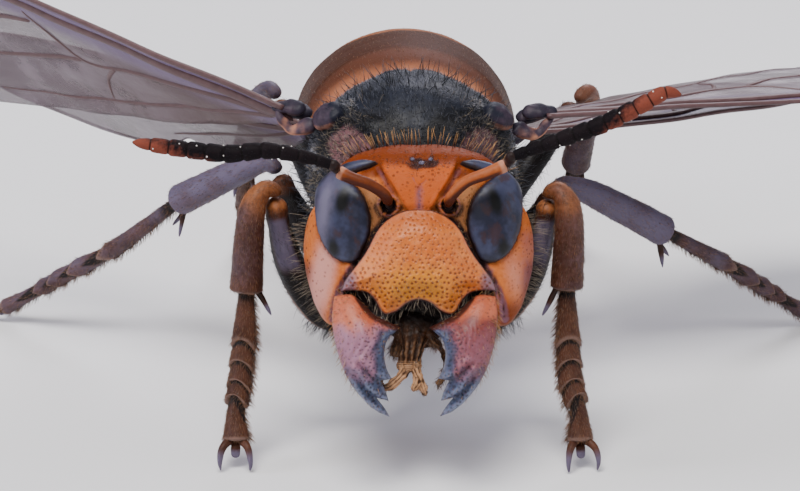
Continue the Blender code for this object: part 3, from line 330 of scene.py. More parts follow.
FINISHES = {
    "head": chitin(
        "orange_cuticle",
        ((0.4, 0.092, 0.014), (0.52, 0.145, 0.034)),
        [
            ("crown", (0.15, 0.025, 0.002), 0.4),
            ("shield", (0.4, 0.078, 0.012), 0.2),
            ("orbit", (0.3, 0.12, 0.045), 0.4),
            ("pink", (0.52, 0.235, 0.19), 0.2),
            ("mauve", (0.18, 0.08, 0.11), 0.4),
            ("dark", (0.012, 0.006, 0.007), 0.35),
        ],
        ("pores", 4.4, (0.085, 0.018, 0.006)),
        depth=0.03, grain=8.0, roughness=0.5, coat=0.0, shine=0.1,
    ),
    "clypeus": chitin(
        "yellow_orange_cuticle",
        ((0.46, 0.104, 0.012), (0.58, 0.175, 0.036)),
        [
            ("yellow", (0.5, 0.17, 0.003), 0.5),
            ("crown", (0.36, 0.068, 0.006), 0.3),
            ("mauve", (0.16, 0.088, 0.118), 0.4),
            ("pit", (0.15, 0.026, 0.004), 0.0),
            ("dark", (0.028, 0.01, 0.01), 0.2),
        ],
        depth=0.022, grain=7.0, roughness=0.44, coat=0.06,
    ),
    "jaw": chitin(
        "mandible_cuticle",
        ((0.34, 0.07, 0.028), (0.45, 0.12, 0.058)),
        [
            ("deep", (0.155, 0.03, 0.024), 0.6),
            ("mauve", (0.265, 0.125, 0.18), 0.4),
            # The slate holds a painted blue sheen, and rim is a painted highlight.
            ("slate", (0.044, 0.054, 0.1), 0.3),
            ("rim", (0.13, 0.152, 0.235), 0.3),
            ("pit", (0.014, 0.011, 0.022), 0.0),
            ("dark", (0.04, 0.01, 0.006), 0.2),
        ],
        ("pores", 4.5, (0.1, 0.035, 0.045)),
        depth=0.016, grain=8.0, roughness=0.44, coat=0.06, shine=0.22,
    ),
    "scape": chitin(
        "scape_cuticle",
        ((0.24, 0.05, 0.007), (0.31, 0.076, 0.015)),
        [
            ("shade", (0.05, 0.009, 0.003), 0.3),
            ("mauve", (0.4, 0.175, 0.105), 0.2),
            ("dark", (0.014, 0.007, 0.006), 0.2),
        ],
        depth=0.006, grain=16.0, roughness=0.48, coat=0.0, shine=0.14,
    ),
    "flagellum": chitin(
        "flagellum_cuticle",
        ((0.004, 0.003, 0.004), (0.009, 0.006, 0.007)),
        [
            ("shade", (0.165, 0.042, 0.026), 0.9),
            ("dark", (0.004, 0.003, 0.003), 0.2),
            ("speck", (0.7, 0.66, 0.62), 0.0),
        ],
        depth=0.008, grain=18.0, roughness=0.6, coat=0.0, glow=0.0, shine=0.05,
    ),
    "thorax": chitin(
        "black_cuticle",
        ((0.004, 0.005, 0.009), (0.01, 0.013, 0.024)),
        [
            ("brown", (0.145, 0.058, 0.06), 0.7),
            ("orange", (0.34, 0.1, 0.024), 0.5),
            ("dark", (0.003, 0.003, 0.004), 0.2),
        ],
        depth=0.03, grain=6.5, roughness=0.5, coat=0.04, glow=0.0, shine=0.2,
    ),
    "tegula": chitin(
        "tegula_cuticle",
        ((0.022, 0.015, 0.026), (0.055, 0.036, 0.052)),
        [("orange", (0.4, 0.175, 0.105), 0.3), ("dark", (0.008, 0.009, 0.018), 0.4)],
        depth=0.02, grain=8.0, roughness=0.5, coat=0.02, shine=0.14, glow=0.0,
    ),
    "gaster": chitin(
        "banded_cuticle",
        ((0.34, 0.12, 0.058), (0.44, 0.178, 0.095)),
        [
            ("umber", (0.085, 0.03, 0.017), 0.3),
            ("brown", (0.05, 0.018, 0.01), 0.5),
            ("orange", (0.5, 0.16, 0.022), 0.3),
            ("dark", (0.014, 0.006, 0.005), 0.2),
        ],
        depth=0.02, grain=8.0, roughness=0.56, coat=0.0, glow=0.1, shine=0.08,
    ),
    "leg": chitin(
        "brown_cuticle",
        ((0.038, 0.013, 0.007), (0.092, 0.035, 0.019)),
        [
            ("mauve", (0.11, 0.09, 0.138), 0.4),
            ("orange", (0.3, 0.1, 0.03), 0.5),
            ("rim", (0.2, 0.12, 0.095), 0.3),
            ("dark", (0.007, 0.005, 0.005), 0.3),
        ],
        depth=0.022, grain=9.0, roughness=0.5, coat=0.02, glow=0.05, shine=0.15,
    ),
    "mouth": chitin(
        "mouth_cuticle",
        ((0.012, 0.004, 0.0015), (0.05, 0.017, 0.005)),
        [("orange", (0.42, 0.225, 0.115), 0.5), ("dark", (0.006, 0.003, 0.002), 0.2)],
        depth=0.04, grain=7.0, roughness=0.48, coat=0.03, glow=0.04, shine=0.16,
    ),
}


def eye_finish():
    """A compound eye: fine facets under a polish, navy with drifting dark patches."""
    finish = Finish("eye_surface", Coat_Weight=0.05, Coat_Roughness=0.3, Specular_IOR_Level=0.26)
    drift = finish.noise(0.8, 3.0)
    blotch = finish.noise(2.0, 4.0, finish.stretched(1.0, 1.0, 0.6))
    colour = finish.blend(finish.step(drift, 0.38, 0.64), (0.01, 0.011, 0.024), (0.034, 0.038, 0.076))
    colour = finish.blend(finish.step(blotch, 0.52, 0.68) * 0.8, colour, (0.03, 0.013, 0.015))
    # A painted lavender sheen, standing for reflected light, where the mark asks for it.
    sheen = finish.step(finish.mark("sheen") + (blotch - 0.5) * 0.7, 0.1, 1.0)
    colour = finish.blend(sheen, colour, (0.1, 0.088, 0.14))
    pupil = finish.step(finish.mark("pupil") + (blotch - 0.5) * 0.5, 0.2, 0.8)
    colour = finish.blend(pupil, colour, (0.001, 0.001, 0.001))
    colour = finish.blend(finish.mark("dark"), colour, (0.016, 0.006, 0.005))
    finish.lay("Base Color", colour)
    finish.lay("Roughness", 0.36 + blotch * 0.16)
    finish.bump(finish.cells(34.0), 0.003, 0.5)
    return finish.material


def wing_finishes():
    membrane = Finish("wing_membrane", Coat_Weight=0.1, Coat_Roughness=0.3, Specular_IOR_Level=0.35)
    streak = membrane.noise(0.35, 4.0, membrane.stretched(0.35, 1.6, 1.0))
    fine = membrane.noise(6.0, 3.0)
    colour = membrane.blend(membrane.step(streak, 0.4, 0.62), (0.105, 0.07, 0.084), (0.195, 0.15, 0.176))
    colour = membrane.blend(membrane.mark("smoke"), colour, (0.085, 0.046, 0.04))
    colour = membrane.blend(membrane.mark("veil"), colour, (0.125, 0.085, 0.16))
    membrane.lay("Base Color", colour)
    membrane.lay("Roughness", 0.3 + fine * 0.15)
    thick = 0.54 + 0.16 * streak + 0.3 * membrane.mark("veil") + 0.16 * membrane.mark("smoke")
    membrane.lay("Alpha", membrane.step(thick, 0.0, 1.0) * 0.94)
    ripples = membrane.noise(1.6, 3.0, membrane.stretched(0.5, 1.0, 1.0))
    membrane.bump(ripples * 0.7 + fine * 0.3, 0.06)
    vein = Finish("wing_vein", Coat_Weight=0.05, Coat_Roughness=0.3, Specular_IOR_Level=0.3)
    shade = vein.noise(2.0, 3.0)
    vein.lay("Base Color", vein.blend(shade, (0.045, 0.02, 0.02), (0.12, 0.062, 0.064)))
    vein.lay("Roughness", 0.35 + shade * 0.2)
    vein.bump(shade, 0.02)
    return membrane.material, vein.material


def hair_finish(name, root, tip, shine=0.4):
    """Hairs that pale from root to tip, each with its own tone."""
    finish = Finish(name, Sheen_Weight=0.1, Specular_IOR_Level=shine)
    tone = finish.mark("tone")
    grain = finish.noise(3.0, 2.0)
    colour = finish.blend(finish.step(tone * 0.8 + grain * 0.2, 0.1, 0.9), root, tip)
    finish.lay("Base Color", colour)
    finish.lay("Roughness", 0.38 + grain * 0.2)
    return finish.material


EYE_FINISH = eye_finish()
MEMBRANE, VEIN = wing_finishes()
GOLD_HAIR = hair_finish("golden_hair", (0.12, 0.04, 0.01), (0.56, 0.29, 0.09))
DARK_HAIR = hair_finish("dark_hair", (0.003, 0.004, 0.006), (0.028, 0.031, 0.044), 0.2)
BLUE_HAIR = hair_finish("blue_grey_hair", (0.01, 0.012, 0.02), (0.13, 0.14, 0.185), 0.3)
BROWN_HAIR = hair_finish("brown_hair", (0.03, 0.011, 0.005), (0.27, 0.115, 0.038))
MOUTH_HAIR = hair_finish("mouth_hair", (0.01, 0.004, 0.002), (0.2, 0.08, 0.024))
GREY_HAIR = hair_finish("grey_hair", (0.03, 0.031, 0.036), (0.4, 0.4, 0.44))
PALE_HAIR = hair_finish("pale_hair", (0.04, 0.028, 0.022), (0.4, 0.32, 0.22))


# Making pieces.
def placed(data, finish, slot, nodes=()):
    """The piece that a finished mesh is, standing for the nodes that it replaces."""
    data.shade_smooth()
    for material in finish if isinstance(finish, tuple) else (finish,):
        data.materials.append(material)
    made = bpy.data.objects.new(data.name, data)
    bpy.context.scene.collection.objects.link(made)
    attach(made, "root")
    if nodes:
        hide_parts(*nodes)
    return made


def finished(mesh, name, finish, slot, nodes=()):
    """A piece of the hornet from a bmesh in millimetres."""
    bmesh.ops.scale(mesh, vec=(METRES,) * 3, verts=mesh.verts)
    data = bpy.data.meshes.new(name)
    mesh.to_mesh(data)
    mesh.free()
    return placed(data, finish, slot, nodes)


def put_marks(mesh, **marks):
    """Writes a number for each vertex under each name."""
    for name, values in marks.items():
        layer = mesh.verts.layers.float.get(name) or mesh.verts.layers.float.new(name)
        for vert, value in zip(mesh.verts, np.broadcast_to(values, len(mesh.verts))):
            vert[layer] = float(min(1.0, max(0.0, value)))


def read_mark(mesh, name):
    layer = mesh.verts.layers.float[name]
    return np.array([vert[layer] for vert in mesh.verts])


def relax(count, edges, fixed, rounds):
    """A dome over a net of points: 0 where fixed, 1 at its highest, smooth between."""
    a, b = edges.T
    neighbours = np.bincount(a, minlength=count) + np.bincount(b, minlength=count)
    height = np.zeros(count)
    for _ in range(rounds):
        total = np.bincount(a, height[b], count) + np.bincount(b, height[a], count)
        height = np.where(fixed, 0.0, total / neighbours + 1.0)
    return np.sqrt(height / height.max())


def plate(outline, spacing, front, back, rounds=900):
    """A closed plate over a flat outline as a bmesh. Both faces share one triangulation.

    front and back turn arrays of (points, distance to the edge, dome) into places. The marks
    flat_x, flat_y, edge and face say where on the plate each vertex is.
    """
    low = np.min(outline, axis=0)
    high = np.max(outline, axis=0)
    columns = np.arange(low[0], high[0] + spacing, spacing)
    rows = np.arange(low[1], high[1] + spacing, spacing * sqrt(0.75))
    grid = [(x + 0.5 * spacing * (k % 2), y) for k, y in enumerate(rows) for x in columns]
    grid = np.array([p for p, keep in zip(grid, inside(grid, outline)) if keep])
    grid = grid[edge_distance(grid, outline) > 0.5 * spacing]
    points = [Vector(p) for p in list(outline) + [tuple(p) for p in grid]]
    count = len(outline)
    ring = [(i, (i + 1) % count) for i in range(count)]
    flat, _, faces, *_ = delaunay_2d_cdt(points, ring, [list(range(count))], 1, 1e-5)
    flat = np.array([tuple(p) for p in flat])
    distance = edge_distance(flat, outline)
    pairs = {tuple(sorted((f[i], f[i - 1]))) for f in faces for i in range(len(f))}
    dome = relax(len(flat), np.array(sorted(pairs)), distance < 1e-4, rounds)
    mesh = bmesh.new()
    layers = [mesh.verts.layers.float.new(name) for name in ("flat_x", "flat_y", "edge", "face")]
    near = []
    for place, p, d in zip(front(flat, distance, dome), flat, distance):
        vert = mesh.verts.new(place)
        for layer, value in zip(layers, (p[0], p[1], d, 1.0)):
            vert[layer] = value
        near.append(vert)
    for face in faces:
        mesh.faces.new([near[i] for i in face])
    copies = bmesh.ops.duplicate(mesh, geom=mesh.verts[:] + mesh.edges[:] + mesh.faces[:])["vert_map"]
    for vert, place in zip(near, back(flat, distance, dome)):
        copies[vert].co = place
        copies[vert][layers[3]] = 0.0
    bmesh.ops.bridge_loops(mesh, edges=[edge for edge in mesh.edges if edge.is_boundary])
    bmesh.ops.recalc_face_normals(mesh, faces=mesh.faces)
    return mesh


def add_tube(mesh, rings, sides, part=0):
    """Adds a closed tube through rings of (centre, across, up, half width, half height, share along).

    The marks along, turn and part say where on it each vertex is.
    """
    layers = mesh.verts.layers.float
    along, turn, label = [layers.get(name) or layers.new(name) for name in ("along", "turn", "part")]
    last = len(rings) - 1
    made = bmesh.ops.create_grid(mesh, x_segments=sides, y_segments=last, size=0.5)["verts"]
    for vert in made:
        centre, across, up, half_width, half_height, share = rings[round((vert.co.y + 0.5) * last)]
        angle = 2 * pi * (vert.co.x + 0.5)
        vert[along] = share
        vert[turn] = vert.co.x + 0.5
        vert[label] = part
        vert.co = centre + across * cos(angle) * half_width + up * sin(angle) * half_height
    bmesh.ops.remove_doubles(mesh, verts=made, dist=MERGE)
    made = [vert for vert in made if vert.is_valid]
    rims = {edge for vert in made for edge in vert.link_edges if edge.is_boundary}
    if rims:
        bmesh.ops.holes_fill(mesh, edges=list(rims), sides=0)
    faces = {face for vert in made for face in vert.link_faces}
    bmesh.ops.recalc_face_normals(mesh, faces=list(faces))
    return made


def rounding(share, start, end):
    """How much of a limb's girth is left near its rounded ends."""
    size = 1.0
    if start and share < start:
        size *= sqrt(max(0.0, 1 - (1 - share / start) ** 2))
    if end and share > 1 - end:
        size *= sqrt(max(0.0, 1 - (1 - (1 - share) / end) ** 2))
    return max(size, 0.02)


def way_along(path, share):
    """The way that a path runs at a share of its length."""
    return (path.point(min(1.0, share + 0.01)) - path.point(max(0.0, share - 0.01))).normalized()


def add_limb(
    mesh, points, girth, sides, count, flat=1.0, up=(0, 0, 1), part=0, ends=(0.03, 0.03), place=at,
    span=(0, 1),
):
    """Adds a tube along a smooth path, its half width read from the (share, half width) pairs of girth.

    flat is its height by its width. part is a number for its mark, and ends are how much of it is
    rounded off. span is the stretch of the path that it takes up, along which shares are counted.
    """
    path = Path([place(*p) for p in points])
    shares = {k / count for k in range(count + 1)}
    for k in range(1, 5):
        shares |= {ends[0] * (k / 5) ** 2, 1 - ends[1] * (k / 5) ** 2}
    rings = []
    across = None
    for share in sorted(shares):
        where = span[0] + (span[1] - span[0]) * share
        along = way_along(path, where)
        if across is None:
            across = along.cross(Vector(up))
        across = (across - along * across.dot(along)).normalized()
        half = read_table(girth, share) * rounding(share, *ends)
        rings.append((path.point(where), across, across.cross(along), half, half * flat, share))
    return add_tube(mesh, rings, sides, part)


def rough(mesh, size, scale, verts=None):
    """Small uneven swells over a surface."""
    mesh.normal_update()
    moves = []
    for vert in verts or mesh.verts:
        moves.append((vert, vert.normal * noise.noise(vert.co * scale) * size))
    for vert, move in moves:
        vert.co += move


# The head.
HEAD_OUTLINE = [
    (0.0, 4.95), (1.9, 4.85), (3.3, 4.35), (4.35, 3.35), (4.95, 2.2), (5.35, 1.0), (5.44, 0.0), (5.35, -1.0),
    (5.1, -2.0), (4.75, -2.9), (4.25, -3.5), (3.5, -3.6), (2.5, -3.35), (1.2, -3.1), (0.0, -3.0),
]
HEAD_REACH = sorted((atan2(z, x), hypot(x, z)) for x, z in HEAD_OUTLINE)
CLYPEUS_OUTLINE = mirrored([
    (0.0, 2.02), (0.6, 1.98), (1.15, 1.76), (1.62, 1.42), (1.98, 0.97), (2.18, 0.58), (2.4, 0.15),
    (2.66, -0.25), (3.0, -0.7), (3.45, -1.3), (3.64, -1.84), (3.1, -1.75), (2.5, -1.84), (2.1, -2.2),
    (1.85, -2.7), (1.55, -2.93), (1.0, -2.74), (0.55, -2.38), (0.0, -2.2),
])
EYE_OUTLINE = [
    (3.0, -0.45), (3.5, -0.45), (4.0, -0.22), (4.38, 0.14), (4.64, 0.62), (4.8, 1.14), (4.86, 1.7),
    (4.86, 2.3), (4.77, 2.82), (4.5, 3.24), (4.1, 3.58), (3.66, 3.88), (3.2, 4.12), (2.6, 4.26),
    (2.0, 4.2), (2.3, 4.04), (2.7, 3.9), (3.05, 3.76), (3.4, 3.6), (3.42, 3.44), (3.2, 3.28),
    (2.88, 3.02), (2.6, 2.64), (2.38, 2.12), (2.27, 1.45), (2.32, 0.9), (2.47, 0.47), (2.64, 0.08),
    (2.78, -0.22),
]
PAST_EDGE = 2.5  # how fast the head's map runs on past the face's outline
BROW = (0.44, 0.14, 0.74)  # where the map has finer faces: half width, low and high
SOCKET_AT = (1.43, 2.22)
SOCKET_RADIUS = 0.42
SHIELD_EDGE = [(-3.0, 0.5), (1.95, 0.55), (2.2, 0.66), (2.8, 1.02), (3.5, 1.45), (4.2, 1.75), (5.2, 1.9)]
SHIELD_FORK = [(-0.3, 3.5), (-0.08, 3.18), (0.02, 2.95), (0.14, 3.22), (0.34, 3.42)]
MALAR_LINE = [(2.85, -0.4), (3.3, -1.15), (3.72, -1.8), (3.95, -2.5), (4.05, -3.2)]
# Each small eye, as (across, up, radius, how far it is sunk).
OCELLI = [(0.13, 4.1, 0.18, 0.1), (-0.3, 4.31, 0.12, 0.12), (0.56, 4.31, 0.12, 0.12)]


def right_half(angle):
    """An angle's mirror image on the x >= 0 half, for a table of that half."""
    if abs(angle) > pi / 2:
        return (pi if angle > 0 else -pi) - angle
    return angle


def head_outward(x, y, z):
    """The way out of the head at a point of its surface."""
    wide, deep, high = HEAD_FORM
    return Vector((x / wide, y / deep, z / high)).normalized()


def head_point(across, up, out=0.0):
    """A point of the head's surface by its place on the head's map, moved out by a distance."""
    turn = hypot(across, up) * pi / 2
    angle = atan2(up, across)
    power = 2 / HEAD_SQUARE
    reach = read_table(HEAD_REACH, right_half(angle)) * max(0.0, sin(turn)) ** power
    depth = abs(cos(turn)) ** power
    x, z = reach * cos(angle), reach * sin(angle)
    y = -HEAD_FRONT * depth if cos(turn) > 0 else HEAD_BACK * depth
    return Vector((x, y, z)) + head_outward(x, y, z) * out


def on_head_map(x, z):
    """The place on the head's map of a point of the face."""
    angle = atan2(z, x)
    share = hypot(x, z) / read_table(HEAD_REACH, right_half(angle))
    turn = asin(min(1.0, share) ** (HEAD_SQUARE / 2)) * 2 / pi + PAST_EDGE * max(0.0, share - 1)
    return turn * cos(angle), turn * sin(angle)


def on_ball(place):
    """The place on the head's map of a point of the ball that the head is made from."""
    turn = 2 / pi * atan2(hypot(place.x, place.z), -place.y)
    angle = atan2(place.z, place.x)
    return turn * cos(angle), turn * sin(angle)


def face_features(x, z):
    """What lies where on the face: shares from 0 to 1, and distances from lines and edges."""
    flat = np.stack([x, z], 1)
    folded = np.stack([abs(x), z], 1)
    shield, past = shield_share(x, z)
    beside = between(2.45, 2.9, 3.6, 4.3, z)
    return SimpleNamespace(
        shield=shield,
        past=past,
        beside=beside,
        hollow=bell(past - 0.24, 0.2) * beside,
        socket=np.hypot(abs(x) - SOCKET_AT[0], z - SOCKET_AT[1]),
        groove=bell(x - 0.02, 0.05) * between(1.8, 2.05, 2.9, 3.2, z),
        fork=bell(line_distance(flat, SHIELD_FORK), 0.05),
        seam=line_distance(folded, MALAR_LINE),
        clypeus=edge_distance(flat, CLYPEUS_OUTLINE),
        eye=edge_distance(folded, EYE_OUTLINE),
    )


def face_relief(on, x, z):
    """How far the face stands out from its plain form."""
    pit = 1 - ramp(0.6 * SOCKET_RADIUS, 0.95 * SOCKET_RADIUS, on.socket)
    out = 0.42 * on.shield + 0.07 * bell(on.past + 0.09, 0.07) * between(2.0, 2.4, 3.7, 4.2, z) - 0.6 * pit
    out += 0.13 * bell(on.socket - 1.12 * SOCKET_RADIUS, 0.075) - 0.12 * on.groove - 0.05 * on.fork
    out += 0.06 * bell(z - 4.62, 0.22) * ramp(2.2, 1.2, abs(x)) - 0.26 * on.hollow
    out += 0.07 * spot((abs(x - 0.12) - 0.5) / 0.3, (z - 4.58) / 0.15)
    out += 0.1 * bell(on.seam - 0.26, 0.13) - 0.14 * bell(on.seam, 0.1)
    return out - 0.08 * bell(on.clypeus - 0.1, 0.12)


def head_marks(on, x, y, z, grain):
    """Where each colour of the head lies."""
    ahead = ramp(0.3, -0.3, y)
    ocelli = np.hypot((x - 0.14) / 0.9, (z - 4.14) / 0.32)
    lens = np.hypot(abs(x - 0.13) - 0.43, z - 4.31)
    # Painted shade in the hollow of the mouth, behind the jaws.
    mouth = ramp(-1.45, -1.85, z) * ramp(3.75, 3.4, abs(x)) * ramp(0.8, -0.2, y)
    cheek = ramp(3.2, 3.9, abs(x)) * ramp(1.6, 0.9, z)
    # Painted shade in the trench round the clypeus.
    painted_trench_shade = bell(on.clypeus - 0.08, 0.17) * ramp(-1.9, -1.3, z) * (1 - 0.6 * ramp(1.5, 1.85, z))
    painted_trench_shade *= 1 - 0.35 * ramp(-0.3, -0.9, z)
    orbit = between(-0.3, 0.4, 2.9, 3.5, z) * between(1.35, 1.9, 2.7, 3.3, abs(x)) * (1 - on.shield)
    rim = ramp(4.65, 5.2, abs(x) + 0.1 * abs(z + 0.2))
    # A painted pink sheen on the cheeks beside and below the eyes, brighter on the cheek at the left of the
    # view.
    painted_sheen_spot = spot((abs(x) - 4.5 + 0.2 * (z + 1.0)) / 0.7, (z + 1.1) / np.where(x < 0, 2.9, 2.0))
    # Dark: painted shade in the feeler sockets and below them, in the trench round the clypeus, along the
    # eye's edge, in the mouth's hollow, in the malar groove and along the foot of the shield's sides; the
    # dark patch round the small eyes and their lenses is the head's own colour.
    dark = most(
        1 - ramp(0.88 * SOCKET_RADIUS, 1.04 * SOCKET_RADIUS, on.socket),
        0.75 * bell(on.socket - 0.6, 0.14) * ramp(2.6, 2.1, z),
        0.35 * bell(on.socket - 0.6, 0.14),
        0.96 * painted_trench_shade,
        0.85 * bell(on.eye, 0.07),
        mouth,
        0.72 * ramp(1.1, 0.5, ocelli + 0.45 * grain),
        0.85 * bell(lens, 0.17),
        0.95 * bell(on.seam + 0.03, 0.07),
        0.4 * bell(on.past - 0.03, 0.06) * on.beside,
    )
    # Mauve: painted shade in the brow's middle groove, its fork and the hollows beside the shield, painted
    # highlights on the rims of the feeler sockets and on the ridges beside the clypeus, and painted shade on
    # the outer cheek at the right of the view; the line along the malar groove is mauve as well.
    mauve = most(
        0.8 * on.groove,
        0.5 * on.fork,
        0.5 * on.hollow,
        0.55 * bell(x - 0.02, 0.26) * between(1.7, 2.0, 2.9, 3.5, z),
        0.85 * bell(on.seam - 0.1, 0.12),
        0.75 * bell(on.socket - 1.14 * SOCKET_RADIUS, 0.05),
        0.7 * bell(on.clypeus - 0.24, 0.09) * between(-1.4, -0.6, -0.1, 0.5, z),
        0.45 * ramp(4.2, 5.1, x) * between(-2.6, -1.2, 0.6, 1.6, z),
    )
    crown = most(
        ramp(2.9, 4.1, z + 0.5 * grain),
        0.75 * rim * ramp(0.2, -1.0, z),
        0.6 * ramp(0.0, 1.0, y),
        # The lower cheeks darken, partly as painted shade, which is heavier on the right of the view.
        np.where(x < 0, 0.25, 0.75) * ramp(-1.5, -3.0, z) * cheek,
    )
    pores = most(
        0.75 * ramp(2.3, 3.6, z),
        0.4 * ramp(1.8, 2.2, z),
        0.95 * rim,
        0.55 * orbit,
        0.5 * ramp(0.6, 2.2, y),
        0.5 * cheek * ramp(3.7, 4.6, abs(x)),
    )
    pink = (0.72 - 0.23 * np.sign(x)) * cheek * painted_sheen_spot
    marks = {"dark": dark, "mauve": mauve, "orbit": 0.85 * orbit, "shield": on.shield, "pink": pink}
    return {name: share * ahead for name, share in marks.items()} | {"crown": crown, "pores": pores}


def shield_share(x, z):
    """1 on the raised shield between the feelers, and how far each place is from its sides."""
    past = abs(x) - np.array([read_table(SHIELD_EDGE, value) for value in z])
    level = ramp(1.3, 1.9, z) * (1 - ramp(3.7, 4.5, z))
    return (1 - ramp(-0.06, 0.13, past)) * level, past


def make_head():
    mesh = bmesh.new()
    bmesh.ops.create_icosphere(mesh, subdivisions=6, radius=1.0)
    brow = set()
    half_width, low, high = BROW
    for face in mesh.faces:
        u, w = on_ball(face.calc_center_median())
        if abs(u) < half_width and low < w < high:
            brow |= set(face.edges)
    bmesh.ops.subdivide_edges(mesh, edges=list(brow), cuts=1, use_grid_fill=True)
    bmesh.ops.triangulate(mesh, faces=[face for face in mesh.faces if len(face.verts) > 3])
    spots = [on_ball(vert.co) for vert in mesh.verts]
    local = np.array([tuple(head_point(*p)) for p in spots])
    x, y, z = local.T
    on = face_features(x, z)
    out = face_relief(on, x, z) * ramp(0.3, -0.3, y)
    eye_hollow = 0.12 * bell(on.eye, 0.16)
    for vert, place, lift, sink in zip(mesh.verts, local, out, eye_hollow):
        vert.co = of_head(*(Vector(place) + Vector((0, -1, 0)) * lift - head_outward(*place) * sink))
    put_marks(
        mesh,
        **head_marks(on, x, y, z, drift(mesh, 1.7)),
        map_x=[(p[0] + 2) / 4 for p in spots],
        map_y=[(p[1] + 2) / 4 for p in spots],
    )
    rough(mesh, 0.03, 1.6)
    return finished(mesh, "head_skin", FINISHES["head"], "orange_cuticle", ["head"])


def make_ocelli():
    """Three small lens eyes on the crown."""
    mesh = bmesh.new()
    for x, z, radius, sunk in OCELLI:
        base = head_point(*on_head_map(x, z))
        place = Matrix.Translation(of_head(x, base.y + sunk - 0.12, z))
        bmesh.ops.create_uvsphere(mesh, u_segments=24, v_segments=16, radius=radius, matrix=place)
    # The lenses of the small eyes are painted all over with the eye's painted sheen.
    put_marks(mesh, sheen=1.0, pupil=0.0, dark=0.0)
    return finished(mesh, "ocelli", EYE_FINISH, "eye_surface")


EYE_IN = 0.1  # how much further in the eye's outer edge lies than the outline
EYE_SWELL = 0.4
EYE_SUNK = 0.5
EYE_PAINTED_SHEEN = {1: 0.15, -1: 0.95}  # how much painted reflection each eye has; the eye at the left of the view is the paler one


def make_eye(side):
    trimmed = [(x - EYE_IN * ramp(3.9, 4.6, x), z) for x, z in EYE_OUTLINE]
    outline = smoothed([on_head_map(side * x, z) for x, z in trimmed], 5)

    def front(flat, distance, dome):
        return [of_head(*head_point(p[0], p[1], 0.06 + EYE_SWELL * h)) for p, h in zip(flat, dome)]

    def back(flat, distance, dome):
        return [of_head(*head_point(p[0], p[1], -EYE_SUNK)) for p in flat]

    mesh = plate(outline, 0.013, front, back, 1500)
    u, w = read_mark(mesh, "flat_x") * side, read_mark(mesh, "flat_y")
    # Painted reflections: a broad one on the eye's outer half and a thin one on its upper lobe.
    sheen = np.maximum(spot((u - 0.56) / 0.11, (w - 0.26) / 0.26), spot((u - 0.35) / 0.12, (w - 0.66) / 0.05))
    put_marks(
        mesh,
        dark=ramp(0.016, 0.005, read_mark(mesh, "edge")),
        pupil=np.maximum(
            0.95 * spot((u - 0.4) / 0.055, (w - 0.27) / 0.1),
            0.85 * spot((u - 0.44) / 0.07, (w - 0.02) / 0.06),
        ),
        sheen=EYE_PAINTED_SHEEN[side] * sheen,
    )
    name = SIDE_NAMES[side]
    return finished(mesh, "eye_surface_" + name, EYE_FINISH, "eye_surface", ["eye_" + name])


# The clypeus, the plate between the eyes and the jaws.
CLYPEUS_BACK = 1.75  # how far ahead of the head's middle its back face lies


def scattered(outline, spacing, seed, jitter=0.3):
    """Points spread unevenly over an outline, about a spacing apart."""
    random = np.random.default_rng(seed)
    low, high = np.min(outline, axis=0), np.max(outline, axis=0)
    rows = np.arange(low[1], high[1], spacing * sqrt(0.75))
    columns = np.arange(low[0], high[0], spacing)
    grid = np.array([(x + 0.5 * spacing * (k % 2), y) for k, y in enumerate(rows) for x in columns])
    grid += random.normal(0, jitter * spacing, grid.shape)
    return grid[inside(grid, outline)]


def pits_at(flat, centres, radii):
    """How deep in the nearest of many round pits each point is, from 0 to 1."""
    depth = np.zeros(len(flat))
    for (x, z), radius in zip(centres, radii):
        near = np.hypot(flat[:, 0] - x, flat[:, 1] - z)
        depth = np.maximum(depth, ramp(radius, 0.35 * radius, near))
    return depth


def clypeus_pits(flat):
    centres = scattered(CLYPEUS_OUTLINE, 0.26, 5, 0.17)
    centres = centres[edge_distance(centres, CLYPEUS_OUTLINE) > 0.14]
    radii = 0.064 + 0.024 * ramp(0.8, -1.4, centres[:, 1])
    return pits_at(flat, centres, radii)


def make_clypeus():
    outline = smoothed(CLYPEUS_OUTLINE, 4)

    def front(flat, distance, dome):
        x, z = flat.T
        form = 1 - (x / 4.6) ** 2 - ((z + 0.6) / 5.2) ** 2
        swell = ramp(-0.25, 1.15, distance)
        lip = 0.1 * bell(distance - 0.16, 0.09) * ramp(-1.3, -1.9, z)
        ahead = 2.18 + 0.75 * form + 0.7 * swell - 0.12 * np.maximum(0.0, -z - 1.2) + lip
        hammered = 0.028 + 0.022 * ramp(0.0, 1.4, x)
        ahead += 0.06 * uneven(x * 1.3, z * 1.3, 3.0) + hammered * uneven(x * 3.4, z * 3.4, 9.0)
        ahead -= 0.05 * clypeus_pits(flat)
        return [of_head(p[0], -a, p[1]) for p, a in zip(flat, ahead)]

    def back(flat, distance, dome):
        return [of_head(p[0], -CLYPEUS_BACK, p[1]) for p in flat]

    mesh = plate(outline, 0.037, front, back, 1)
    x, z, edge = (read_mark(mesh, name) for name in ("flat_x", "flat_y", "edge"))
    lower = ramp(-1.5, -1.9, z)
    corner = ramp(2.5, 3.2, abs(x)) * ramp(-0.4, -1.2, z)
    sides = bell(edge - 0.05, 0.13) * ramp(1.6, 0.6, z) * (1 - lower)
    pit = clypeus_pits(np.stack([x, z], 1))
    put_marks(
        mesh,
        pit=(0.6 + 0.28 * ramp(-0.2, -1.3, z)) * pit * ramp(0.05, 0.2, edge),
        yellow=0.9 * spot((x + 0.1) / 2.3, (z + 1.55) / 1.15),
        crown=0.65 * ramp(0.4, 1.7, z) + 0.35 * ramp(1.9, 2.6, abs(x)) * ramp(-0.6, 0.2, z),
        mauve=most(0.75 * corner, 0.35 * sides, 0.5 * bell(edge - 0.1, 0.08) * lower),
        dark=np.maximum(0.95 * ramp(0.13, 0.03, edge) * lower, 0.75 * ramp(0.07, 0.01, edge)),
    )
    return finished(mesh, "clypeus_plate", FINISHES["clypeus"], "yellow_orange_cuticle", ["clypeus"])


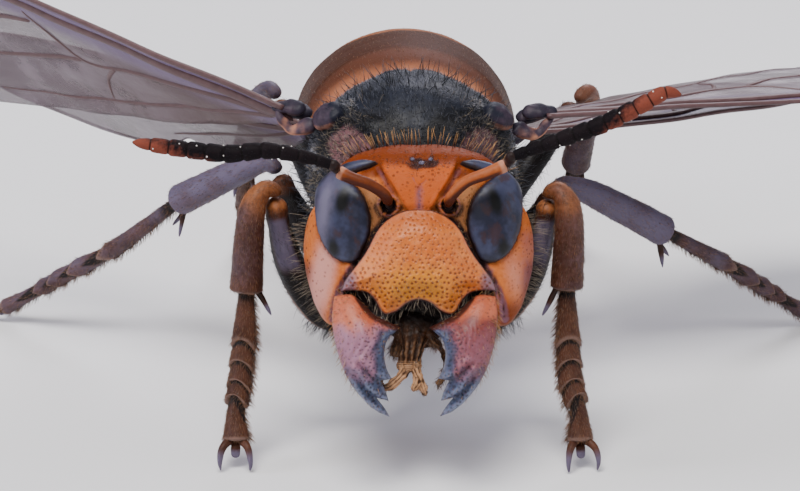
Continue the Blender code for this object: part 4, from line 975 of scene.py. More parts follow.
# The jaws. The tables hold the hornet's left jaw, and its right one is their mirror image.
JAW_RIDGES = [
    [(2.7, -4.9), (2.0, -5.5), (1.33, -5.83)],
    [(2.95, -5.3), (2.25, -6.3), (1.5, -6.89)],
    [(3.1, -5.8), (2.5, -6.85), (1.46, -7.62)],
]
JAW_VALLEYS = [
    [(2.75, -5.15), (2.2, -5.75), (1.8, -5.97)],
    [(2.95, -5.75), (2.45, -6.45), (2.0, -6.77)],
]
JAW_OUTLINE = [
    (3.95, -2.05), (4.05, -2.75), (4.02, -3.5), (3.85, -4.4), (3.55, -5.35), (3.1, -6.2), (2.45, -7.0),
    (1.9, -7.45), (1.38, -7.68), (1.62, -7.25), (2.0, -6.75), (1.42, -6.92), (1.55, -6.45), (1.8, -5.95),
    (1.28, -5.86), (1.5, -5.4), (1.62, -4.7), (1.45, -4.0), (0.85, -3.5), (1.45, -3.2), (2.1, -2.85),
    (2.65, -2.3), (3.2, -1.95),
]
JAW_INNER = JAW_OUTLINE[8:19]
JAW_TOOTHLESS = JAW_INNER[4:]
JAW_UPPER = JAW_OUTLINE[18:] + JAW_OUTLINE[:1]
JAW_SHIFT = {1: -0.38, -1: 0.0}
JAW_LINES = {1: 19, -1: 13}  # how close together the striations are
# How much of the mauve band each jaw has; the band is partly the jaw's own colour and partly painted shade.
JAW_MAUVE = {1: 0.45, -1: 0.95}
JAW_DEEP = {1: (0.95, 0.9), -1: (0.1, 0.45)}  # the deep red of the lower half, and of the striations


def make_jaw(side):
    shift = JAW_SHIFT[side]
    outline = smoothed([(side * (x + shift), z) for x, z in JAW_OUTLINE], 4)

    def own(flat):
        """Places on the tables' jaw."""
        return np.stack([side * flat[:, 0] - shift, flat[:, 1]], 1)

    def pits(flat):
        spots = scattered(JAW_OUTLINE, 0.19, 17 + side, 0.25)
        inner = line_distance(spots, JAW_INNER)
        keep = (inner < 1.1) | (spots[:, 1] < -5.0) | (np.arange(len(spots)) % 3 == 0)
        spots, inner = spots[keep], inner[keep]
        radii = 0.034 + 0.026 * ramp(1.3, 0.5, inner) + 0.012 * ramp(-5.0, -6.0, spots[:, 1])
        return pits_at(own(flat), spots, radii)

    def middle(flat):
        x, z = own(flat).T
        fall = np.clip((-2.0 - z) / 5.6, 0, 1)
        return -2.5 - 0.55 * np.sin(fall * pi) + 0.1 * (x + shift - 2.6) ** 2

    def striations(flat):
        """Fine wavy lines, strongest on the inner half."""
        x, z = own(flat).T
        across = x * 1.15 + z * 0.35 + 0.45 * uneven(x * 0.9, z * 0.9, 7.0 + side)
        inner = line_distance(own(flat), JAW_INNER)
        lines = 0.5 + 0.5 * np.sin(across * JAW_LINES[side])
        return lines * ramp(2.4, 1.0, inner) * ramp(0.2, 0.5, inner) * ramp(-2.9, -3.8, z)

    def teeth(flat):
        place = own(flat)
        ridges = np.max([bell(line_distance(place, line), 0.2) for line in JAW_RIDGES], axis=0)
        valleys = np.max([bell(line_distance(place, line), 0.15) for line in JAW_VALLEYS], axis=0)
        inner = line_distance(place, JAW_TOOTHLESS)
        toothless = ramp(-5.7, -5.2, place[:, 1])
        roll = bell(inner - 0.14, 0.11) * toothless
        trough = bell(inner - 0.42, 0.16) * toothless
        return 0.17 * ridges - 0.12 * valleys + 0.1 * roll - 0.12 * trough

    def front(flat, distance, dome):
        half = 0.1 + 0.84 * dome
        lift = teeth(flat) * ramp(0.0, 0.12, distance) + 0.065 * striations(flat) - 0.05 * pits(flat)
        return [of_head(p[0], m - h - a, p[1]) for p, m, h, a in zip(flat, middle(flat), half, lift)]

    def back(flat, distance, dome):
        half = 0.1 + 0.66 * dome
        return [of_head(p[0], m + h, p[1]) for p, m, h in zip(flat, middle(flat), half)]

    mesh = plate(outline, 0.058, front, back, 1500)
    flat = np.stack([read_mark(mesh, "flat_x"), read_mark(mesh, "flat_y")], 1)
    x, z = own(flat).T
    inner = line_distance(own(flat), JAW_INNER)
    wave = uneven(x * 1.6, z * 1.6, 2.0)
    relief = teeth(flat)
    # The slate is the teeth's dark colour with a painted blue sheen in it.
    slate = most(
        ramp(-4.9, -6.3, z + 0.5 * wave),
        ramp(0.85, 0.15, inner + 0.25 * wave),
        0.6 * ramp(0.0, 0.1, -relief) * ramp(-4.6, -5.6, z),
    )
    hinge = line_distance(own(flat), JAW_UPPER) + 0.6 * ramp(2.6, 3.6, x)
    low, lines = JAW_DEEP[side]
    # The mauve band is partly the jaw's colour and partly painted shade. rim is a painted highlight on the
    # ridges of the teeth and along the inner edge, and pit darkens the pits and, as painted shade, the
    # valleys between the teeth.
    put_marks(
        mesh,
        slate=0.95 * slate,
        mauve=ramp(-2.5, -4.4, z + 0.4 * wave) * JAW_MAUVE[side],
        deep=np.maximum(low * ramp(-2.2, -3.6, z + 0.5 * wave), lines * striations(flat) * (1 - slate)),
        rim=np.maximum(5.0 * np.maximum(0, relief - 0.02), 0.6 * ramp(0.18, 0.04, inner)) * slate,
        pit=np.maximum(0.85 * pits(flat), -4.0 * np.minimum(0, relief + 0.03) * slate),
        pores=(0.25 + 0.6 * ramp(2.6, 1.2, inner) * ramp(-2.6, -3.4, z)) * (1 - 0.7 * slate),
        dark=np.maximum(0.95 * ramp(0.36, 0.08, hinge), 0.4 * ramp(0.05, 0.0, read_mark(mesh, "edge"))),
    )
    name = SIDE_NAMES[side]
    return finished(mesh, "jaw_" + name, FINISHES["jaw"], "mandible_cuticle", ["mandible_" + name])


# The mouthparts, as (across, back, up) from the head's middle.
STEM, RIBBON, PALP, WALL = range(4)
MOUTH_STEM = [(-0.2, -1.2, -3.0), (-0.3, -1.65, -4.1), (-0.42, -1.95, -5.0), (-0.44, -2.08, -5.62)]
MOUTH_STEM_GIRTH = [(0, 0.95), (0.3, 0.85), (0.6, 0.6), (0.8, 0.52), (0.93, 0.58), (1, 0.4)]
MOUTH_WALL = [(-0.15, -0.75, -2.3), (-0.15, -1.0, -3.2), (-0.15, -1.25, -3.9), (-0.2, -1.45, -4.55)]
MOUTH_WALL_GIRTH = [(0, 2.2), (0.25, 1.9), (0.5, 1.35), (0.75, 1.15), (0.92, 0.85), (1, 0.6)]
MOUTH_RIBBONS = [
    [
        (-0.42, -2.0, -5.15), (-0.66, -2.16, -5.6), (-0.98, -2.26, -5.95), (-1.34, -2.28, -6.24),
        (-1.62, -2.2, -6.34), (-1.78, -2.1, -6.16), (-1.7, -2.02, -5.98),
    ],
    [
        (-0.34, -2.0, -5.1), (-0.14, -2.16, -5.55), (0.04, -2.26, -5.95), (0.18, -2.26, -6.35),
        (0.28, -2.16, -6.6), (0.18, -2.06, -6.7),
    ],
    [(0.02, -2.22, -5.9), (-0.06, -2.34, -6.15), (-0.2, -2.34, -6.36), (-0.16, -2.28, -6.48)],
]
MOUTH_RIBBON_GIRTH = [(0, 0.3), (0.2, 0.27), (0.45, 0.23), (0.7, 0.2), (0.9, 0.16), (1, 0.1)]
MOUTH_PALPS = [
    [(-0.55, -1.4, -3.6), (-0.95, -1.65, -4.3), (-1.18, -1.8, -4.92)],
    [(0.15, -1.4, -3.75), (0.6, -1.65, -4.18), (1.0, -1.85, -4.46)],
    [(0.75, -1.2, -4.1), (1.28, -1.4, -5.2), (1.1, -1.7, -5.95), (0.86, -1.8, -6.22)],
]
MOUTH_PALP_GIRTHS = [
    [(0, 0.34), (0.4, 0.36), (0.75, 0.33), (1, 0.14)],
    [(0, 0.34), (0.4, 0.36), (0.75, 0.26), (1, 0.12)],
    [(0, 0.16), (0.6, 0.11), (0.8, 0.17), (1, 0.1)],
]


def make_mouth():
    mesh = bmesh.new()
    limbs = [(MOUTH_STEM, MOUTH_STEM_GIRTH, 72, 90, 0.55, STEM)]
    limbs += [(MOUTH_WALL, MOUTH_WALL_GIRTH, 48, 50, 0.36, WALL)]
    limbs += [(points, MOUTH_RIBBON_GIRTH, 40, 100, 0.5, RIBBON) for points in MOUTH_RIBBONS]
    limbs += [(points, girth, 28, 50, 0.8, PALP) for points, girth in zip(MOUTH_PALPS, MOUTH_PALP_GIRTHS)]
    for points, girth, sides, count, flat, part in limbs:
        add_limb(mesh, points, girth, sides, count, flat, (0, 1, 0.2), part, place=of_head)
    part, along, turn = (read_mark(mesh, name) for name in ("part", "along", "turn"))
    kinds = [part == STEM, part == RIBBON, part == PALP]
    folds = 0.5 + 0.5 * np.cos(turn * np.where(part == STEM, 22, 16) * pi)
    ribs = 0.5 - 0.5 * np.cos(along * 52 * pi)
    wave = drift(mesh, 4.0)
    depth = np.select(kinds, [0.07 * ramp(0.2, 0.5, along), 0.035, 0.03], 0.0)
    mesh.normal_update()
    for vert, sink in zip(mesh.verts, depth * folds):
        vert.co -= vert.normal * sink
    # Gold on the crests of the folds is a painted highlight and dark in their troughs is painted shade; the
    # stem is also painted dark with shade where it runs up under the head.
    foot = ramp(0.72, 0.95, along)
    gold_and_crest_highlight = [
        np.maximum(0.35 * (1 - folds) * ramp(0.2, 0.6, along), foot * (0.35 + 0.55 * ribs)),
        ramp(-0.3, 0.45, along) * (0.55 + 0.45 * (1 - folds) + 0.9 * wave),
        0.55 * ramp(0.3, 0.9, along) * (1 - 0.6 * folds),
    ]
    dark = [
        0.85 * np.maximum(ramp(0.45, 0.05, along), 0.7 * folds * (1 - foot)),
        0.75 * ramp(0.6, 1.1, folds + 0.6 * wave),
        0.35 * folds,
    ]
    put_marks(mesh, orange=np.select(kinds, gold_and_crest_highlight, 0.0), dark=np.select(kinds, dark, 0.95))
    rough(mesh, 0.08, 2.6)
    rough(mesh, 0.06, 5.0)
    return finished(mesh, "mouth_parts", FINISHES["mouth"], "brown_cuticle", ["mouthparts"])


# The feelers: each scape in the head's directions, each flagellum in the body's.
SCAPES = {
    "right": [
        (-1.4, -2.55, 2.3), (-1.62, -3.1, 2.75), (-2.35, -3.45, 3.25), (-3.2, -3.45, 3.55),
        (-3.8, -3.3, 3.85),
    ],
    "left": [
        (1.36, -2.55, 2.2), (1.5, -3.1, 2.65), (2.2, -3.45, 3.35), (3.2, -3.45, 3.75), (4.1, -3.3, 4.15),
    ],
}
SCAPE_GIRTH = [
    (0, 0.08), (0.025, 0.17), (0.055, 0.19), (0.08, 0.15), (0.105, 0.18), (0.15, 0.245), (0.3, 0.26),
    (0.6, 0.275), (0.88, 0.3), (0.95, 0.31), (1, 0.27),
]
SCAPE_PAINTED_SHADE = {"right": (0.62, 0.35), "left": (0.0, 0.92)}  # painted shade: all over, and as much again on the underside
# A painted highlight on the upper side, on the scape at the right of the view.
SCAPE_PAINTED_HIGHLIGHT = {"right": 0.0, "left": 0.3}
PEDICEL_GIRTH = [(0, 0.16), (0.3, 0.2), (0.7, 0.27), (1, 0.22)]
FLAGELLA = {
    "right": [
        (-3.95, -3.0, 15.9), (-5.2, -3.1, 16.3), (-7.0, -3.2, 16.65), (-8.8, -3.2, 16.5), (-10.9, -3.1, 16.7),
        (-13.2, -3.0, 17.0),
    ],
    "left": [
        (4.25, -3.0, 16.3), (6.2, -3.1, 17.05), (8.5, -3.2, 17.95), (10.4, -3.2, 18.95), (11.3, -3.1, 19.4),
        (12.0, -3.0, 19.25),
    ],
}
FLAGELLUM_JOINTS = 11
FLAGELLUM_JOINT_SHAPE = ((0.0, 0.82), (0.12, 0.93), (0.5, 0.99), (0.88, 1.0))
FLAGELLUM_GIRTH = [(0, 0.24), (0.06, 0.27), (0.25, 0.36), (0.5, 0.42), (0.75, 0.4), (0.9, 0.33), (1, 0.15)]
RED_FROM = {"right": 0.62, "left": 0.48}  # the share along from which a flagellum reddens
SPECKS = 26  # pale specks tried on each flagellum
SPECK_ROOM = 0.45  # the least distance between two of them


def make_scape(side):
    """The long first joint of a feeler, and the small second one that the flagellum turns on."""
    mesh = bmesh.new()
    root = (SIDES[side] * SOCKET_AT[0], -2.3, SOCKET_AT[1] - 0.02)
    points = [root, *SCAPES[side]]
    add_limb(mesh, points, SCAPE_GIRTH, 32, 130, 1.0, (0, 1, 0.2), ends=(0.02, 0.03), place=of_head)
    end = of_head(*SCAPES[side][-1]) - Vector((*HEAD_AT, 0))
    start = Vector(FLAGELLA[side][0])
    onward = (start - end).normalized()
    bead = [end - onward * 0.12, end + onward * 0.15, start + onward * 0.3]
    add_limb(mesh, bead, PEDICEL_GIRTH, 28, 24, part=1, ends=(0.1, 0.12))
    along, rod = read_mark(mesh, "along"), read_mark(mesh, "part") == 0
    mesh.normal_update()
    # Painted shade on the faces that look down, and a painted highlight on those that look up.
    below = ramp(0.35, -0.45, np.array([vert.normal.z for vert in mesh.verts]))
    even, under = SCAPE_PAINTED_SHADE[side]
    painted_shade = (even + under * below) * ramp(1.0, 0.8, along)
    ends = np.maximum(0.9 * ramp(0.115, 0.085, along), 0.85 * bell(along - 0.975, 0.012))
    put_marks(
        mesh,
        shade=rod * np.maximum(painted_shade, bell(along - 0.135, 0.03)),
        mauve=rod * np.maximum(0.8 * ramp(0.86, 0.93, along), SCAPE_PAINTED_HIGHLIGHT[side] * (1 - below)),
        dark=np.where(rod, ends, 0.93),
    )
    return finished(mesh, "scape_" + side, FINISHES["scape"], "orange_cuticle", ["antenna_%s_scape" % side])


def add_specks(mesh, along, seed):
    """Adds small pale beads here and there on a flagellum."""
    random = np.random.default_rng(seed)
    spots = [vert.co.copy() for vert, share in zip(mesh.verts, along) if 0.1 < share < 0.9]
    speck = mesh.verts.layers.float["speck"]
    kept = []
    for k in random.choice(len(spots), SPECKS, replace=False):
        if any((spots[k] - other).length < SPECK_ROOM for other in kept):
            continue
        kept.append(spots[k])
        radius = random.uniform(0.03, 0.05)
        turned = Matrix.Translation(spots[k])
        for vert in bmesh.ops.create_icosphere(mesh, subdivisions=1, radius=radius, matrix=turned)["verts"]:
            vert[speck] = 0.9


def make_flagellum(side):
    """The eleven joints past the scape, as one piece."""
    mesh = bmesh.new()
    girth = []
    for i in range(FLAGELLUM_JOINTS):
        for share, scale in FLAGELLUM_JOINT_SHAPE:
            where = (i + share) / FLAGELLUM_JOINTS
            girth.append((where, read_table(FLAGELLUM_GIRTH, where) * scale))
    add_limb(mesh, FLAGELLA[side], girth, 28, 176, ends=(0.02, 0.05))
    along, turn = read_mark(mesh, "along"), read_mark(mesh, "turn")
    step = along * FLAGELLUM_JOINTS % 1
    under = 0.5 - 0.5 * np.sin(turn * 2 * pi)
    reach = along + 0.22 * (under - 0.3) + 0.08 * drift(mesh, 1.5)
    start = RED_FROM[side]
    put_marks(
        mesh,
        shade=0.9 * ramp(start, start + 0.4, reach),
        speck=0.0,
        dark=0.85 * np.maximum(bell(step, 0.06), bell(step - 1, 0.06)),
    )
    add_specks(mesh, along, 3 + SIDES[side])
    nodes = ["antenna_%s_flagellum" % side]
    return finished(mesh, "flagellum_" + side, FINISHES["flagellum"], "black_cuticle", nodes)


# The thorax: (back, half width, half height, height of the middle) of its rings.
THORAX_RINGS = [
    (3.1, 1.25, 1.25, 10.9), (3.7, 2.1, 2.2, 11.1), (4.4, 3.3, 3.2, 11.5), (5.3, 4.3, 4.15, 11.85),
    (6.6, 4.95, 4.8, 12.1), (8.2, 5.2, 4.95, 12.15), (10.0, 5.25, 4.85, 11.95), (11.8, 5.1, 4.6, 11.6),
    (13.4, 4.75, 4.2, 11.2), (14.8, 4.2, 3.7, 10.8), (16.2, 3.4, 3.0, 10.4), (17.4, 2.3, 2.2, 10.0),
    (18.3, 1.2, 1.2, 9.8), (18.8, 0.9, 0.9, 9.7),
]
THORAX_STEPS = 150
SHOULDER_CUT = [(0.0, 4.7, 16.5), (4.9, 7.1, 15.0), (3.2, 4.9, 9.0)]


def body_x(back):
    """The body's middle line leans a little to the hornet's right, away from the head's."""
    return -0.1 - 0.02 * back


def shoulder_distance(points):
    """How far behind the collar's hind edge each place is."""
    nearest = np.full(len(points), -1e9)
    for side in (1, -1):
        a, b, c = (Vector((side * p[0] + body_x(p[1]), p[1], p[2])) for p in SHOULDER_CUT)
        normal = (b - a).cross(c - a).normalized()
        normal *= 1 if normal.y > 0 else -1
        own = (points - np.array(a)) @ np.array(normal)
        nearest = np.where(points[:, 0] * side > body_x(7) * side, own, nearest)
    return nearest


def collar_patch(x, up):
    """How far each place is from the middle of the brown patch on the collar, its edge being at 1."""
    return np.hypot((abs(x) - 3.1) / 1.15, (up - 14.15) / 1.25)


def make_thorax():
    rings = []
    tables = [[(ring[0], ring[k]) for ring in THORAX_RINGS] for k in (1, 2, 3)]
    start, end = THORAX_RINGS[0][0], THORAX_RINGS[-1][0]
    across, upward = Vector((1, 0, 0)), Vector((0, 0, 1))
    for k in range(THORAX_STEPS + 1):
        back = start + (end - start) * k / THORAX_STEPS
        half_width, half_height, height = (read_table(table, back) for table in tables)
        middle = at(body_x(back), back, height)
        rings.append((middle, across, upward, half_width, half_height, k / THORAX_STEPS))
    mesh = bmesh.new()
    add_tube(mesh, rings, 120)
    mesh.normal_update()
    places = np.array([tuple(vert.co) for vert in mesh.verts]) - np.array([*HEAD_AT, 0])
    x, back, up = places.T
    x = x - body_x(back)
    collar = shoulder_distance(places)
    before = ramp(0.1, -0.4, collar)
    far = collar_patch(x, up)
    top = ramp(12.6, 14.6, up)
    waist = 1 - bell(x, 0.9)
    # Furrows of the back and the sides.
    lines = bell(abs(x) - 1.7, 0.1) * between(7.2, 7.8, 10.4, 10.9, back) * top
    middle = bell(x, 0.09) * ramp(10.9, 10.2, back) * top * 0.6
    cross = bell(back - 11.15, 0.13) * top
    hind = bell(back - 14.35, 0.12) * ramp(8.0, 11.0, up)
    flank = bell(back - 10.6 + 0.25 * (up - 11.0), 0.12) * between(8.0, 9.5, 12.6, 13.6, up)
    side_line = bell(up - 10.4 - 0.12 * (back - 8), 0.1) * between(6.0, 7.0, 13.0, 13.8, back)
    # The raised plates behind them, and the rim of the patch on the collar.
    shelf = between(11.2, 12.2, 13.6, 14.5, back) * ramp(3.0, 0.9, abs(x)) * top
    belt = bell(back - 14.95, 0.28) * ramp(2.6, 1.8, abs(x)) * ramp(11.5, 13.0, up)
    arc = bell(far - 1.12, 0.16) * before * ramp(13.2, 14.0, up)
    out = ramp(1.2, 2.2, abs(x)) * (0.1 * bell(collar + 0.32, 0.18) - 0.2 * bell(collar, 0.12))
    out += 0.36 * shelf - 0.14 * shelf * bell(x, 0.18) + 0.2 * belt + 0.12 * arc
    out -= 0.1 * lines + 0.07 * middle + 0.12 * cross + 0.14 * hind + 0.12 * flank + 0.1 * side_line
    out -= 0.25 * ramp(15.4, 17.0, back) * (1 - waist)
    out += 0.05 * (0.5 + 0.5 * np.sin(up * 9.0)) * between(15.6, 16.2, 17.2, 18.0, back) * waist
    for vert, lift in zip(mesh.verts, out):
        vert.co += vert.normal * lift
    wave = drift(mesh, 0.9)
    patch = ramp(1.05, 0.8, far + 0.15 * wave) * before
    stain = ramp(1.25, 0.75, np.hypot(x / 1.9, (back - 13.5) / 0.95)) * top
    put_marks(
        mesh,
        brown=most(
            np.where(x > 0, 0.55, 0.95) * patch * ramp(-0.9, 0.2, wave + 0.2),
            0.75 * stain,
            0.3 * ramp(14.5, 15.5, back),
        ),
        orange=np.maximum(0.5 * stain * ramp(0.3, 1.3, abs(x)), 0.7 * belt),
        dark=0.9 * most(bell(collar + 0.1, 0.3), cross, hind, flank, side_line, 0.8 * lines, arc),
    )
    rough(mesh, 0.06, 1.1)
    nodes = ["pronotum", "mesothorax", "scutellum", "propodeum"]
    return finished(mesh, "thorax_skin", FINISHES["thorax"], "black_cuticle", nodes)


# The wing joints: the scale over a wing's root, and the horny pieces that join a wing to the body.
SCALE, HOOK = range(2)
TEGULA_SIZE = 0.82
TEGULA_OUTLINE = [
    (TEGULA_SIZE * out, TEGULA_SIZE * far)
    for out, far in [
        (1.05, -0.1), (0.92, 0.4), (0.5, 0.78), (-0.05, 0.86), (-0.62, 0.7), (-0.95, 0.25),
        (-0.95, -0.3), (-0.58, -0.72), (0.0, -0.84), (0.56, -0.72), (0.94, -0.5),
    ]
]
HOOK_GIRTH = [(0, 0.12), (0.2, 0.24), (0.42, 0.24), (0.7, 0.4), (0.9, 0.42), (1, 0.2)]
ARM_GIRTH = [(0, 0.2), (0.4, 0.4), (0.75, 0.46), (1, 0.3)]
# The wing of each joining piece, its line as (out, back, up) from the wing's root, and its girth.
WING_ARMS = [
    (
        "forewing_",
        [
            (0.35, -0.05, 0.05), (0.0, -0.25, -0.42), (-0.38, -0.4, -0.78), (-0.95, -0.45, -0.72),
            (-1.6, -0.3, -0.35),
        ],
        HOOK_GIRTH,
    ),
    ("forewing_", [(0.6, 0.2, 0.15), (-0.3, 0.1, 0.2), (-1.1, 0.0, 0.1)], ARM_GIRTH),
    ("forewing_", [(0.3, 0.9, -0.1), (-0.5, 0.9, -0.2), (-1.4, 0.8, -0.35)], ARM_GIRTH),
    ("hindwing_", [(0.4, 0.1, 0.05), (-0.3, 0.0, -0.1), (-1.0, -0.2, -0.35)], ARM_GIRTH),
]


def make_wing_joint(side):
    """The scale over the wing's root, and the horny pieces that join the wing to the body."""
    sign = SIDES[side]
    facing = Vector((sign * 0.5, -0.55, 0.67)).normalized()
    outward = Vector((sign * 0.86, 0.3, -0.4))
    outward = (outward - facing * outward.dot(facing)).normalized()
    rearward = facing.cross(outward) * sign
    middle = at(body_x(7) + sign * 4.1, 6.9, 15.4)

    def surface(flat, rise):
        return [middle + outward * p[0] + rearward * p[1] + facing * h for p, h in zip(flat, rise)]

    def front(flat, distance, dome):
        crease = uneven(flat[:, 0] * 0.8, flat[:, 1] * 2.6, 5.0)
        return surface(flat, 0.1 + 0.42 * dome + 0.1 * crease * ramp(0.0, 0.4, distance))

    def back(flat, distance, dome):
        return surface(flat, -(0.05 + 0.35 * dome))

    mesh = plate(smoothed(TEGULA_OUTLINE, 5), 0.06, front, back, 500)
    for part, (wing, points, girth) in enumerate(WING_ARMS, HOOK):
        root = Vector(WINGS[wing + side]["root"])
        points = [root + Vector((sign * out, far, up)) for out, far, up in points]
        add_limb(mesh, points, girth, 28, 44, 0.6, (0, -0.6, 0.8), part=part, ends=(0.12, 0.15))
    part, along, edge, inner = (read_mark(mesh, name) for name in ("part", "along", "edge", "flat_x"))
    wave = drift(mesh, 2.2)
    mesh.normal_update()
    below = ramp(0.25, -0.55, np.array([vert.normal.z for vert in mesh.verts]))
    kinds = [part == SCALE, part == HOOK]
    orange = [0.5 * ramp(0.11, 0.02, edge), 0.95 * bell(along - 0.45, 0.36) * np.maximum(below, 0.4 + wave)]
    dark = [0.9 * ramp(0.2, -0.5, inner + 0.5 * wave), 0.6 * ramp(0.6, 1.0, along)]
    put_marks(
        mesh, orange=np.select(kinds, orange, 0.3 * below), dark=np.select(kinds, dark, 0.5 + 0.4 * wave)
    )
    rough(mesh, 0.07, 2.4)
    return finished(mesh, "wing_joint_" + side, FINISHES["tegula"], "brown_cuticle", ["tegula_" + side])


# The gaster: its middle line, its girth in full, and where one segment ends and the next begins.
GASTER_LINE = [
    (-0.45, 18.55, 9.7), (-0.5, 21.0, 9.35), (-0.6, 26.0, 8.75), (-0.75, 33.0, 7.5), (-0.85, 38.5, 6.1),
    (-0.9, 43.2, 4.6),
]
GASTER_GIRTH = [
    (0.0, 0.85), (0.03, 1.2), (0.06, 2.9), (0.1, 4.4), (0.15, 5.35), (0.215, 5.85), (0.32, 6.1),
    (0.43, 6.15), (0.52, 5.95), (0.6, 5.6), (0.68, 5.0), (0.76, 4.2), (0.85, 3.1), (0.93, 1.9), (0.98, 0.9),
    (1.0, 0.35),
]
GASTER_CUTS = [0.0, 0.215, 0.43, 0.6, 0.74, 0.865, 1.0]
GASTER_FLAT = 0.93  # height by width
GASTER_LIP = 0.16  # how far a segment's hind edge stands out over the next one
GASTER_GAP = 0.0015


def make_gaster():
    path = Path([at(*p) for p in GASTER_LINE])
    rings = []
    final = len(GASTER_CUTS) - 2
    for i, (start, end) in enumerate(zip(GASTER_CUTS, GASTER_CUTS[1:])):
        count = 24 if i else 40
        for k in range(count + 1):
            t = k / count
            share = start + (end - start) * t + (GASTER_GAP if k == 0 and i else 0)
            lip = 0 if i == final else GASTER_LIP * t**2 - (GASTER_LIP * 0.5 * ramp(0.985, 1.0, t))
            half = (read_table(GASTER_GIRTH, share) - 0.08 + lip) * rounding(share, 0.0, 0.012)
            along = way_along(path, share)
            across = along.cross(Vector((0, 0, 1))).normalized()
            rings.append((path.point(share), across, across.cross(along), half, half * GASTER_FLAT, share))
    mesh = bmesh.new()
    add_tube(mesh, rings, 96)
    along, turn = read_mark(mesh, "along"), read_mark(mesh, "turn")
    high = 0.5 + 0.5 * np.sin(turn * 2 * pi)
    cuts = np.array(GASTER_CUTS)
    which = np.clip(np.searchsorted(cuts, along, side="right") - 1, 0, final)
    t = (along - cuts[which]) / (cuts[which + 1] - cuts[which])
    wave = drift(mesh, 0.35)
    notch = 0.06 * bell(abs(turn - 0.25) - 0.13, 0.05)
    bow = 0.06 * np.cos((turn - 0.25) * 4 * pi) + 0.08 * wave - notch
    band = ramp(0.6, 0.72, t + bow)
    # The first segment's umber band, laid on more heavily towards its top, where it is painted shade.
    first = (0.35 + 0.65 * high) * ramp(0.44, 0.84, t + 0.5 * bow)
    second = ramp(0.83, 0.92, t + bow)
    kinds = [which == 0, which == 1, which == final]
    put_marks(
        mesh,
        umber=np.select(kinds[:2], [first, 0.0], 0.25 * band * ramp(0.0, 0.3, wave)),
        brown=np.select(kinds, [0.9 * ramp(0.8, 1.0, t), 0.95 - 0.45 * second, 0.0], 0.95 * (1 - band)),
        orange=np.select(kinds, [0.0, 0.3 * second, 0.6], band),
        dark=0.6 * (which < final) * ramp(0.985, 1.0, t),
    )
    rough(mesh, 0.04, 0.8)
    nodes = ["gaster_%d" % k for k in range(1, 7)]
    return finished(mesh, "gaster_skin", FINISHES["gaster"], "banded_cuticle", nodes)


